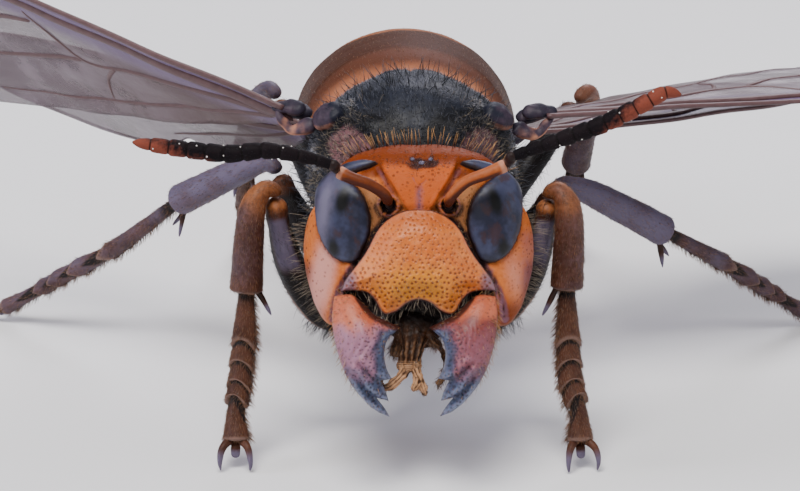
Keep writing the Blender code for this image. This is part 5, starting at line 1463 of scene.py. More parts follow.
# The legs. Each joint line runs outwards from the body; a girth is (share along, half width).
LEGS = {
    "foreleg_right": {
        "coxa": [(-1.75, 5.0, 8.3), (-2.35, 4.4, 7.0), (-2.9, 4.1, 5.75)],
        "femur": [
            (-3.1, 4.0, 5.35), (-4.9, 3.8, 6.5), (-6.15, 3.3, 8.9), (-6.75, 2.7, 11.4), (-6.85, 2.5, 12.6),
        ],
        "tibia": [
            (-6.95, 2.45, 13.0), (-7.35, 2.3, 13.1), (-7.85, 2.0, 12.5), (-8.1, 1.6, 10.9),
            (-8.25, 1.0, 8.25),
        ],
        "spurs": [[(-7.75, 1.0, 8.5), (-7.4, 0.95, 7.9), (-7.05, 0.9, 7.2)]],
        "tarsus": [
            (-8.3, 1.0, 8.1), (-8.4, 0.6, 5.6), (-8.6, 0.2, 3.9), (-8.78, -0.2, 2.6), (-8.78, -0.65, 1.35),
        ],
    },
    "foreleg_left": {
        "coxa": [(1.35, 5.0, 8.3), (1.95, 4.4, 7.0), (2.5, 4.1, 5.75)],
        "femur": [(2.7, 4.0, 5.35), (4.4, 3.8, 6.6), (5.55, 3.3, 8.9), (6.1, 2.7, 11.4), (6.25, 2.5, 12.5)],
        "tibia": [
            (6.35, 2.45, 12.9), (6.75, 2.3, 13.0), (7.15, 2.0, 12.3), (7.2, 1.6, 10.8), (7.1, 1.0, 8.4),
        ],
        "spurs": [[(6.6, 1.0, 8.6), (6.3, 0.95, 7.9), (5.95, 0.9, 7.2)]],
        "tarsus": [(7.1, 1.0, 8.2), (7.2, 0.6, 5.7), (7.35, 0.2, 4.0), (7.7, -0.25, 2.7), (7.78, -0.7, 1.35)],
    },
    "midleg_right": {
        "coxa": [(-2.2, 9.3, 7.9), (-2.9, 9.5, 7.0), (-3.4, 9.6, 6.2)],
        "femur": [(-3.7, 9.65, 6.1), (-5.0, 9.9, 7.6), (-6.2, 10.4, 9.6), (-7.0, 10.9, 11.2)],
        "tibia": [
            (-7.25, 11.1, 11.6), (-7.7, 11.4, 11.7), (-8.7, 12.1, 11.2), (-10.6, 13.5, 9.9),
            (-12.4, 14.9, 8.6),
        ],
        "spurs": [
            [(-12.0, 14.6, 8.4), (-12.2, 14.7, 7.5), (-12.35, 14.8, 6.7)],
            [(-11.9, 15.1, 8.3), (-12.3, 15.5, 7.6), (-12.75, 15.8, 7.0)],
        ],
        "tarsus": [
            (-12.6, 15.0, 8.3), (-16.0, 17.0, 5.3), (-18.6, 18.5, 3.45), (-20.7, 19.7, 1.9),
            (-22.3, 20.7, 0.75),
        ],
    },
    "midleg_left": {
        "coxa": [(1.75, 9.3, 7.9), (2.45, 9.5, 7.0), (2.95, 9.6, 6.2)],
        "femur": [(3.25, 9.65, 6.1), (4.6, 9.9, 7.2), (5.9, 10.4, 8.85), (6.8, 10.9, 10.15)],
        "tibia": [
            (7.1, 11.1, 10.5), (7.55, 11.4, 10.55), (8.6, 12.1, 10.0), (10.9, 13.6, 8.4), (12.95, 14.9, 6.9),
        ],
        "spurs": [
            [(12.5, 14.6, 6.7), (12.7, 14.7, 5.8), (12.8, 14.8, 5.0)],
            [(12.4, 15.1, 6.6), (12.8, 15.5, 5.9), (13.2, 15.8, 5.3)],
        ],
        "tarsus": [
            (13.2, 15.0, 6.7), (15.9, 16.7, 4.8), (18.0, 18.0, 3.15), (19.8, 19.1, 1.7), (21.0, 19.9, 0.75),
        ],
    },
    "hindleg_right": {
        "coxa": [(-2.1, 13.9, 7.9), (-2.75, 14.4, 6.9), (-3.15, 14.8, 6.1)],
        "femur": [(-3.4, 15.0, 6.1), (-4.6, 16.3, 8.0), (-6.2, 18.2, 10.8), (-7.3, 19.6, 12.7)],
        "tibia": [
            (-7.55, 20.0, 13.1), (-7.9, 20.6, 13.1), (-8.5, 22.2, 11.9), (-9.1, 24.7, 9.2), (-9.5, 26.8, 6.9),
        ],
        "spurs": [
            [(-9.15, 26.4, 6.9), (-9.05, 26.75, 6.0), (-8.95, 27.05, 5.2)],
            [(-9.8, 26.3, 6.8), (-9.95, 26.55, 5.9), (-10.1, 26.8, 5.1)],
        ],
        "tarsus": [
            (-9.6, 27.0, 6.7), (-9.7, 29.6, 4.1), (-9.7, 31.9, 2.4), (-9.7, 33.9, 1.3), (-9.7, 35.8, 0.75),
        ],
    },
    "hindleg_left": {
        "coxa": [(1.6, 13.9, 7.9), (2.25, 14.4, 6.9), (2.65, 14.8, 6.1)],
        "femur": [(2.9, 15.0, 6.1), (4.4, 16.3, 8.0), (6.7, 18.2, 10.7), (8.4, 19.6, 12.5)],
        "tibia": [
            (8.75, 20.0, 12.9), (9.1, 20.6, 12.9), (9.2, 22.2, 11.8), (9.0, 24.7, 9.2), (8.8, 26.8, 6.9),
        ],
        "spurs": [
            [(8.45, 26.4, 6.9), (8.35, 26.75, 6.0), (8.25, 27.05, 5.2)],
            [(9.1, 26.3, 6.8), (9.25, 26.55, 5.9), (9.4, 26.8, 5.1)],
        ],
        "tarsus": [(8.8, 27.0, 6.7), (8.8, 29.6, 4.1), (8.8, 31.9, 2.4), (8.8, 33.9, 1.3), (8.8, 35.8, 0.75)],
    },
}
COXA, FEMUR, TIBIA, SPUR, FOOT, CLAW = range(6)
LEG_JOINTS = ("coxa", "femur", "tibia", "tarsus")
LEG_PAINTED_SHEEN = {"fore": 0.25, "mid": 0.9, "hind": 0.45}  # the painted mauve sheen over a shin
COXA_GIRTH = [(0, 0.9), (0.2, 1.15), (0.55, 1.08), (0.8, 0.82), (0.92, 0.66), (1, 0.5)]
TROCHANTER_GIRTH = [(0, 0.45), (0.3, 0.58), (0.7, 0.56), (1, 0.4)]
FEMUR_GIRTH = [
    (0, 0.42), (0.06, 0.5), (0.18, 0.72), (0.4, 0.82), (0.65, 0.76), (0.85, 0.6), (0.95, 0.6), (1, 0.52),
]
TIBIA_GIRTH = [
    (0, 0.34), (0.05, 0.4), (0.14, 0.46), (0.3, 0.64), (0.6, 0.74), (0.85, 0.78), (0.96, 0.8), (1, 0.74),
]
TARSUS_WIDTH = {
    "fore": [(0, 0.46), (0.39, 0.62), (0.5, 0.63), (0.75, 0.6), (0.8, 0.5), (0.9, 0.54), (1, 0.66)],
    "mid": [(0, 0.46), (0.46, 0.52), (0.6, 0.56), (0.8, 0.5), (0.9, 0.44), (1, 0.5)],
    "hind": [(0, 0.42), (0.46, 0.46), (0.6, 0.5), (0.8, 0.46), (0.9, 0.42), (1, 0.48)],
}
TARSUS_JOINTS = {
    "fore": [0.0, 0.39, 0.52, 0.65, 0.75, 1.0],
    "mid": [0.0, 0.46, 0.61, 0.72, 0.8, 1.0],
    "hind": [0.0, 0.46, 0.61, 0.72, 0.8, 1.0],
}
FOOT_JOINT_SHAPE = [(0, 0.76), (0.15, 0.8), (0.5, 0.91), (0.85, 1.02), (0.95, 1.04), (1, 1.0)]
FOOT_OVERLAP = 0.055  # how far a foot joint starts inside the one before it
FOOT_CUP = 0.62  # how far the sides of a foot joint's rim reach past its middle
TIBIA_SCALE = {"fore": 1.06, "mid": 1.1, "hind": 1.0}
CLAW_GIRTH = [(0, 0.2), (0.3, 0.2), (0.6, 0.155), (0.85, 0.095), (1, 0.035)]
SPUR_GIRTH = [(0, 0.15), (0.35, 0.15), (0.8, 0.09), (1, 0.03)]
# A claw and the pad, as (ahead of the foot's end, out to its side, share of the end's height).
CLAW_PATH = [
    (-0.25, 0.16, 0.95), (0.15, 0.36, 1.02), (0.55, 0.62, 0.86), (0.78, 0.74, 0.45), (0.7, 0.7, 0.06),
]
PAD_PATH = [(-0.2, 0.0, 0.95), (0.1, 0.0, 0.78), (0.26, 0.0, 0.42)]
PAD_GIRTH = [(0, 0.18), (0.5, 0.24), (1, 0.2)]


def arch(turn):
    """How far round towards the sides of a limb a place is, in the curve of a crescent."""
    return 1 - np.sqrt(np.maximum(0.0, 1 - 0.98 * np.cos(2 * pi * np.asarray(turn)) ** 2))


def cup_rim(mesh, verts, way):
    """Draws a foot joint's rim out at its sides, so that it ends in a crescent."""
    along, turn = (mesh.verts.layers.float[name] for name in ("along", "turn"))
    for vert in verts:
        vert.co += way * float(FOOT_CUP * (arch(vert[turn]) - 0.5) * ramp(0.45, 1.0, vert[along]))


def add_foot(mesh, points):
    """Adds the two claws and the pad at the end of a tarsus."""
    end = Vector(points[-1])
    ahead = end - Vector(points[-2])
    ahead = Vector((ahead.x, ahead.y, 0)).normalized()
    aside = Vector((-ahead.y, ahead.x, 0))
    toes = [(CLAW_PATH, CLAW_GIRTH, 1, 1.0, 0.04), (CLAW_PATH, CLAW_GIRTH, -1, 1.0, 0.04)]
    for path, girth, side, flat, tip in toes + [(PAD_PATH, PAD_GIRTH, 1, 0.6, 0.2)]:
        toe = [end + ahead * fore + aside * side * out for fore, out, high in path]
        toe = [p + Vector((0, 0, (high - 1) * end.z)) for p, (fore, out, high) in zip(toe, path)]
        add_limb(mesh, toe, girth, 16, 24, flat, part=CLAW, ends=(0.05, tip))


def leg_marks(mesh, pair, side):
    """Where each colour of a leg lies."""
    mesh.normal_update()
    part, along, turn, later = (read_mark(mesh, k) for k in ("part", "along", "turn", "later"))
    femur, tibia, foot = (part == k for k in (FEMUR, TIBIA, FOOT))
    wave = drift(mesh, 0.8)
    over = 0.5 + 0.5 * np.sin(turn * 2 * pi)
    # Painted shade at the start of each foot joint, under the end of the shin or the crescent rim of the
    # joint before it.
    rim_shadow_reach = 0.06 + later * 0.5 * arch(turn)
    dark = np.select(
        [part == COXA, femur, tibia, foot, part == CLAW],
        [
            0.85,
            0.97 * ramp(0.97, 0.75, along),
            0.5 * ramp(0.25, 0.0, along),
            0.25 + 0.7 * ramp(rim_shadow_reach + 0.22, rim_shadow_reach + 0.04, along),
            0.6 * ramp(0.5, 0.0, along),
        ],
        0.6 * ramp(0.9, 0.3, along),
    )
    # A painted mauve sheen over the shins and feet, stronger on their upper sides; the mauve tips of the
    # claws and spurs are their own colour.
    mauve = LEG_PAINTED_SHEEN[pair] * (0.8 + 0.5 * wave + 0.2 * over) * (tibia + 0.55 * foot)
    if (pair, side) == ("hind", "right"):
        mauve = np.where(tibia, 0.8 * ramp(0.5, 0.1, along), mauve)
    mauve = np.where((part == CLAW) | (part == SPUR), 0.9 * ramp(0.35, 0.8, along), mauve)
    knee = femur * ramp(0.9, 0.98, along) + tibia * bell(along - 0.03, 0.04)
    orange = (0.55 if pair == "fore" else 0.25) * knee + foot * 0.25 * bell(along - 0.97, 0.05)
    if (pair, side) == ("hind", "left"):
        orange = np.maximum(orange, tibia * 0.5 * ramp(0.55, 0.15, along))
    # Painted highlights on the rims at the ends of the foot joints and of the shin.
    rim = foot * 0.75 * ramp(0.84, 0.97, along) + tibia * 0.5 * ramp(0.955, 0.985, along)
    if pair == "fore":
        # On the forelegs: a painted highlight along the thigh's lower edge, a painted lilac sheen on its side
        # that faces the camera, and painted light along the edges of the shin and the foot as the camera sees
        # them.
        low_edge = Vector((0.62 * SIDES[side], -0.35, -0.7))
        low_edge = np.array([vert.normal.dot(low_edge) for vert in mesh.verts])
        facing = np.array([-vert.normal.y for vert in mesh.verts])
        pale = femur * ramp(0.9, 0.985, low_edge) * ramp(0.02, 0.12, along)
        lilac_sheen = femur * ramp(0.42, 0.8, along + 0.15 * wave) * ramp(0.94, 0.86, along)
        lilac_sheen = lilac_sheen * ramp(0.2, 0.9, facing)
        warm_and_edge_light = ramp(0.55, 0.05, along + 0.2 * wave) + 0.35 * ramp(0.6, 0.1, abs(facing))
        rim = np.maximum(rim, 0.9 * pale)
        dark = dark * (1 - 0.9 * np.maximum(pale, lilac_sheen))
        mauve = np.maximum(mauve, lilac_sheen)
        orange = most(orange, tibia * 0.55 * np.minimum(1, warm_and_edge_light), foot * 0.35 * ramp(0.5, 0.1, abs(facing)))
    put_marks(mesh, dark=dark, mauve=mauve, orange=orange, rim=rim)


def make_leg(name, joints):
    mesh = bmesh.new()
    mesh.verts.layers.float.new("later")
    pair, side = name.split("leg_")
    coxa, femur, tibia, tarsus = ([Vector(p) for p in joints[k]] for k in LEG_JOINTS)
    add_limb(mesh, coxa, COXA_GIRTH, 48, 60, part=COXA, ends=(0.1, 0.08))
    bead = [coxa[-1].lerp(coxa[-2], 0.15), coxa[-1].lerp(femur[0], 0.6), femur[0].lerp(femur[1], 0.18)]
    add_limb(mesh, bead, TROCHANTER_GIRTH, 40, 30, part=COXA, ends=(0.2, 0.2))
    add_limb(mesh, femur, FEMUR_GIRTH, 48, 100, 0.9, part=FEMUR, ends=(0.03, 0.05))
    knee = femur[-1].lerp(tibia[0], 0.25)
    shin = [(share, half * TIBIA_SCALE[pair]) for share, half in TIBIA_GIRTH]
    add_limb(mesh, [knee, *tibia], shin, 48, 110, 0.92, part=TIBIA, ends=(0.03, 0.04))
    for points in joints["spurs"]:
        add_limb(mesh, points, SPUR_GIRTH, 16, 24, part=SPUR, ends=(0.05, 0.04))
    heel = tibia[-1] - (tibia[-1] - tibia[-2]).normalized() * 0.35
    line = [heel, *tarsus[1:]]
    path = Path([at(*p) for p in line])
    cuts = TARSUS_JOINTS[pair]
    for start, end in zip(cuts, cuts[1:]):
        widths = [read_table(TARSUS_WIDTH[pair], start + s * (end - start)) for s, k in FOOT_JOINT_SHAPE]
        girth = [(s, k * width) for (s, k), width in zip(FOOT_JOINT_SHAPE, widths)]
        span = (start - (FOOT_OVERLAP if start else 0.0), end)
        joint = add_limb(mesh, line, girth, 32, 36, 0.85, part=FOOT, ends=(0.06, 0.05), span=span)
        later = mesh.verts.layers.float["later"]
        for vert in joint:
            vert[later] = 1.0 if start else 0.0
        if end < 1.0:
            cup_rim(mesh, joint, (path.point(end) - path.point(end - 0.05)).normalized())
    add_foot(mesh, tarsus)
    leg_marks(mesh, pair, side)
    rough(mesh, 0.03, 1.7)
    nodes = ["%s_%s" % (name, k) for k in LEG_JOINTS]
    return finished(mesh, name + "_skin", FINISHES["leg"], "brown_cuticle", nodes)


# The wings, flat, as (out along the wing, back from its leading edge) of a wing of full length.
FOREWING_OUTLINE = [
    (0.0, -0.25), (4.0, -0.35), (9.0, -0.45), (14.0, -0.5), (19.0, -0.45), (23.5, -0.45), (27.5, 0.0),
    (31.0, 0.75), (34.0, 2.0), (35.8, 4.0), (35.7, 6.0), (34.2, 7.9), (31.5, 9.4), (28.0, 10.3), (24.0, 10.5),
    (20.5, 9.9), (18.0, 9.0), (14.0, 7.5), (10.0, 5.9), (6.0, 4.2), (3.0, 2.6), (1.0, 1.35), (0.0, 0.9),
]
FOREWING_VEINS = [
    [(0.3, 0.3), (6.0, 0.25), (12.0, 0.2), (18.0, 0.2), (22.0, 0.35), (24.0, 0.6), (27.5, 0.8), (31.3, 1.75)],
    [(0.6, 0.45), (5.0, 1.15), (9.0, 2.0), (12.0, 2.75), (15.5, 0.65)],
    [(12.0, 2.75), (16.0, 4.6), (19.5, 6.1), (23.0, 7.7), (25.8, 9.2)],
    [(15.0, 1.3), (18.5, 2.6), (21.0, 3.3), (24.0, 3.9), (27.5, 3.6), (31.0, 2.0)],
    [(21.0, 3.3), (22.5, 5.0), (26.0, 5.7), (30.0, 6.9), (33.0, 7.7)],
    [(24.0, 0.6), (25.2, 2.3), (25.3, 3.8), (25.0, 5.4)],
    [(28.2, 3.3), (29.0, 5.0), (28.8, 6.5)],
    [(19.0, 2.8), (19.6, 4.6), (19.5, 6.1)],
    [(24.6, 5.4), (24.6, 7.0), (23.6, 8.0)],
    [(0.8, 0.7), (5.0, 2.6), (10.0, 4.9), (14.5, 6.7), (17.6, 7.9)],
    [(10.0, 2.25), (10.6, 3.6), (10.3, 5.0)],
]
HINDWING_OUTLINE = [
    (0.0, -0.2), (5.0, -0.5), (10.0, -0.4), (15.0, 0.1), (19.5, 1.1), (22.3, 2.6), (23.0, 4.2), (21.6, 5.6),
    (18.5, 6.5), (15.0, 6.9), (12.0, 6.7), (9.5, 6.0), (8.3, 5.1), (6.8, 5.5), (4.3, 5.0), (2.2, 3.4),
    (0.8, 1.8), (0.0, 0.9),
]
HINDWING_VEINS = [
    [(0.3, 0.25), (5.0, 0.2), (9.5, 0.25), (13.0, 1.1), (18.5, 2.4)],
    [(0.6, 0.5), (4.5, 1.5), (8.0, 2.5), (12.0, 3.8), (16.5, 5.3)],
    [(0.7, 0.8), (4.0, 2.6), (7.0, 4.1), (9.4, 5.2)],
    [(9.5, 0.4), (10.2, 1.8), (10.6, 3.3)],
]
FOREWING_LENGTH = 36.0
HINDWING_LENGTH = 23.0
# Where each wing's root is, and how it is held: angles in degrees.
WINGS = {
    "forewing_right": {"root": (-6.6, 7.5, 15.5), "sweep": 25, "raise": 15, "pitch": 60},
    "forewing_left": {"root": (6.25, 7.5, 15.3), "sweep": 19, "raise": -1, "pitch": 7},
    "hindwing_right": {"root": (-5.75, 10.4, 13.9), "sweep": 30, "raise": 9, "pitch": 56},
    "hindwing_left": {"root": (5.4, 10.4, 13.6), "sweep": 31, "raise": -3, "pitch": 7},
}
MEMBRANE_HALF = 0.03
VEIN_WIDTHS = [0.34, 0.24]  # half widths of the first two veins of each wing
VEIN_WIDTH = 0.17  # and of the others
RIM_WIDTH = 0.2
VEIN_REACH = 0.8  # how far a vein runs on towards the body from the wing's root


def wing_frame(side, held):
    """The directions out along a wing, back across it and up from its upper face."""
    sweep, lift, pitch = (radians(held[k]) for k in ("sweep", "raise", "pitch"))
    out = Vector((side * cos(sweep) * cos(lift), sin(sweep) * cos(lift), sin(lift)))
    level = Vector((-side * sin(sweep), cos(sweep), 0))
    upright = Vector((-side * cos(sweep) * sin(lift), -sin(sweep) * sin(lift), cos(lift)))
    across = level * cos(pitch) - upright * sin(pitch)
    upper = level * sin(pitch) + upright * cos(pitch)
    return out, across, upper


def add_vein(mesh, points, widths, place, upper, sides, flat):
    """Adds a rib of a wing through points of its flat form."""
    last = len(points) - 1
    rings = []
    for i, (p, wide) in enumerate(zip(points, widths)):
        ahead = place(points[min(last, i + 1)], 0) - place(points[max(0, i - 1)], 0)
        rings.append((place(p, 0), ahead.cross(upper).normalized(), upper, wide, wide * flat, i / last))
    for face in {face for vert in add_tube(mesh, rings, sides) for face in vert.link_faces}:
        face.material_index = 1


def make_wing(name, outline, veins, length):
    side = SIDES[name.split("_")[1]]
    out, across, upper = wing_frame(side, WINGS[name])
    root = Vector(WINGS[name]["root"])
    layer = 3.7 * list(WINGS).index(name)
    lines = [smoothed(line, 6, closed=False) for line in veins]

    def place(p, height):
        along = min(1.0, max(0.0, p[0]) / length)
        camber = 0.35 * sin(pi * along) * (1 - (p[1] / 5 - 1) ** 2)
        fold = 0.16 * noise.noise(Vector((p[0] * 0.22, p[1] * 0.75, layer))) * min(1.0, max(0.0, p[0]) / 4)
        return at(*(root + out * p[0] + across * p[1] + upper * (camber + fold + height)))

    def surface(flat, half):
        gap = np.min([line_distance(flat, line) for line in lines], axis=0)
        return [place(p, s + half) for p, s in zip(flat, -0.1 * ramp(0.0, 0.9, gap))]

    def front(flat, distance, dome):
        return surface(flat, MEMBRANE_HALF)

    def back(flat, distance, dome):
        return surface(flat, -MEMBRANE_HALF)

    rim = smoothed(outline, 6)
    mesh = plate(rim, 0.3, front, back, 1)
    x, y = read_mark(mesh, "flat_x"), read_mark(mesh, "flat_y")
    leading_edge = outline[: len(outline) // 2]
    lead = y - np.array([read_table(leading_edge, v) for v in x])
    put_marks(
        mesh,
        veil=0.95 * ramp(2.3, 1.0, lead) * ramp(length * 0.92, length * 0.6, x),
        smoke=0.9 * ramp(length * 0.45, 0.0, x) * ramp(0.2, 0.9, lead),
    )
    for line, width in zip(lines, VEIN_WIDTHS + [VEIN_WIDTH] * len(lines)):
        points = [Vector(p) for p in line]
        if points[0].x < 1.0:
            points.insert(0, points[0] + (points[0] - points[1]).normalized() * VEIN_REACH)
        last = len(points) - 1
        widths = [width * (1 - 0.62 * (i / last)) * (1 if 0 < i < last else 0.35) for i in range(last + 1)]
        add_vein(mesh, points, widths, place, upper, 12, 0.62)
    rim = rim[: len(rim) * 2 // 3]
    widths = [RIM_WIDTH * (1 - 0.75 * (i / (len(rim) - 1))) for i in range(len(rim))]
    add_vein(mesh, rim, widths, place, upper, 10, 0.7)
    return finished(mesh, name + "_skin", (MEMBRANE, VEIN), "wing_membrane", [name])


# Hairs. A coat piece is many solid tapered hairs rooted in the skin of other pieces.
HAIR_RINGS = [(0.0, 1.0), (0.42, 0.8), (0.76, 0.45)]  # (share along the hair, share of its width)
HAIR_FACES = [
    (2, 1, 0), (0, 1, 4, 3), (1, 2, 5, 4), (2, 0, 3, 5), (3, 4, 7, 6), (4, 5, 8, 7), (5, 3, 6, 8), (6, 7, 9),
    (7, 8, 9), (8, 6, 9),
]
HAIR_POINTS = 10
HAIR_TONES = [0.0, 0.4, 0.75, 1.0]  # from root to tip
PATCH = 0.003  # across one hair's place on the unwrapped skin


def unit(vectors):
    return vectors / np.maximum(np.linalg.norm(vectors, axis=-1, keepdims=True), 1e-9)


class Skin:
    """A finished piece as hairs need it: its triangles in millimetres and its marks."""

    def __init__(self, piece):
        data = piece.data
        data.calc_loop_triangles()
        self.data = data
        self.count = len(data.vertices)
        self.places = self.read(data.vertices, "co", 3) / METRES
        self.normals = self.read(data.vertex_normals, "vector", 3)
        self.faces = self.read(data.loop_triangles, "vertices", 3, int)
        self.corners = [self.places[self.faces[:, k]] for k in range(3)]
        a, b, c = self.corners
        self.upright = np.cross(b - a, c - a)
        self.area = 0.5 * np.linalg.norm(self.upright, axis=1)

    def read(self, items, name, width, kind=float):
        values = np.empty(len(items) * width, kind)
        items.foreach_get(name, values)
        return values.reshape(-1, width) if width > 1 else values

    def own(self):
        """Places counted from the middle of the head, as the tables count them."""
        return self.places - np.array([*HEAD_AT, 0])

    def mark(self, name):
        return self.read(self.data.attributes[name].data, "value", 1)

    def unwrap(self):
        """Where each vertex lies on the unwrapped skin, in a square of side 1."""
        names = self.data.attributes.keys()
        if "map_x" in names:
            return np.stack([self.mark("map_x"), self.mark("map_y")], 1)
        if "flat_x" in names:
            flat = np.stack([self.mark("flat_x"), self.mark("flat_y")], 1)
            low, high = flat.min(0), flat.max(0)
            flat = (flat - low) / (high - low).max()
            flat[:, 0] = 0.5 * flat[:, 0] + 0.5 * (self.mark("face") < 0.5)
            return flat
        part = self.mark("part")
        rows = part.max() + 1
        return np.stack([self.mark("turn"), (part + self.mark("along")) / rows], 1)

    def slopes(self, name):
        """The way that a mark rises on each triangle."""
        value = self.mark(name)[self.faces]
        a, b, c = self.corners
        rise = (value[:, 1] - value[:, 0])[:, None] * np.cross(self.upright, a - c)
        rise += (value[:, 2] - value[:, 0])[:, None] * np.cross(self.upright, b - a)
        return unit(rise)


def hairs(skin, count, where, lie, seed, length, width, lift=35, bend=0.4, stray=0.25, tile=(0, 1)):
    """Hairs rooted over a skin, as their vertices' places, tones and unwrapped places.

    where is how dense they are at each vertex. lie is a direction, a function that gives one for
    each place, or the name of a mark that the hairs point up. lift is the angle from the skin in
    degrees, and stray is how unevenly they lie. tile is which of so many columns of the unwrapped
    square they use.
    """
    random = np.random.default_rng(seed)
    weight = skin.area * np.maximum(0, where)[skin.faces].mean(1)
    chosen = random.choice(len(skin.faces), count, p=weight / weight.sum())
    share = random.dirichlet((1.0, 1.0, 1.0), count)[..., None]
    corners = skin.faces[chosen]
    root = (skin.places[corners] * share).sum(1)
    normal = unit((skin.normals[corners] * share).sum(1))
    if isinstance(lie, str):
        way = skin.slopes(lie)[chosen]
    elif callable(lie):
        way = lie(root - np.array([*HEAD_AT, 0]))
    else:
        way = np.broadcast_to(np.array(lie, float), root.shape)
    way = way + random.normal(0, stray, root.shape)
    way = unit(way - normal * (way * normal).sum(1, keepdims=True))
    angle = np.radians(lift + random.normal(0, 25 * stray, count))[:, None]
    first = normal * np.sin(angle) + way * np.cos(angle)
    last = unit(first + way * bend - normal * bend * 0.3)
    sizes = (np.full(count, length) * random.uniform(0.6, 1.15, count))[:, None]
    aside = unit(np.cross(first, normal + 0.3 * way + random.normal(0, 0.2, root.shape)))
    above = np.cross(first, aside)
    wide = width * random.uniform(0.75, 1.2, count)[:, None]
    start = root - normal * width * 0.8
    points = []
    for along, thick in HAIR_RINGS:
        middle = start + sizes * along * (first * (1 - along) + unit(first + last) * along)
        for k in range(3):
            corner = aside * cos(2 * pi * k / 3) + above * sin(2 * pi * k / 3)
            points.append(middle + corner * wide * thick)
    points.append(start + sizes * unit(first + last))
    points = np.stack(points, 1)
    tone = np.repeat(HAIR_TONES, [3, 3, 3, 1]) + random.normal(0, 0.16, count)[:, None]
    place = 0.002 + (skin.unwrap()[corners] * share).sum(1) * 0.992
    place[:, 0] = (tile[0] + place[:, 0]) / tile[1]
    offset = np.array([(k % 3 / 2, k // 3 / 3) for k in range(9)] + [(0.5, 1.0)]) * PATCH
    return points.reshape(-1, 3), tone.reshape(-1), (place[:, None] + offset).reshape(-1, 2)


def coat(name, finish, slot, batches):
    """One piece of many hairs."""
    points, tone, spots = (np.concatenate(parts) for parts in zip(*batches))
    count = len(points) // HAIR_POINTS
    faces = [tuple(HAIR_POINTS * i + k for k in face) for i in range(count) for face in HAIR_FACES]
    data = bpy.data.meshes.new(name)
    data.from_pydata((points * METRES).tolist(), [], faces)
    data.attributes.new("tone", "FLOAT", "POINT").data.foreach_set("value", np.clip(tone, 0, 1))
    loops = np.empty(len(data.loops), int)
    data.loops.foreach_get("vertex_index", loops)
    data.uv_layers.new(name="OFBake").data.foreach_set("uv", np.clip(spots, 0, 1)[loops].ravel())
    return placed(data, finish, slot)


def outward_from(x, back, up):
    """A lie that points away from a place."""
    return lambda places: unit(places - np.array([x, back, up]))


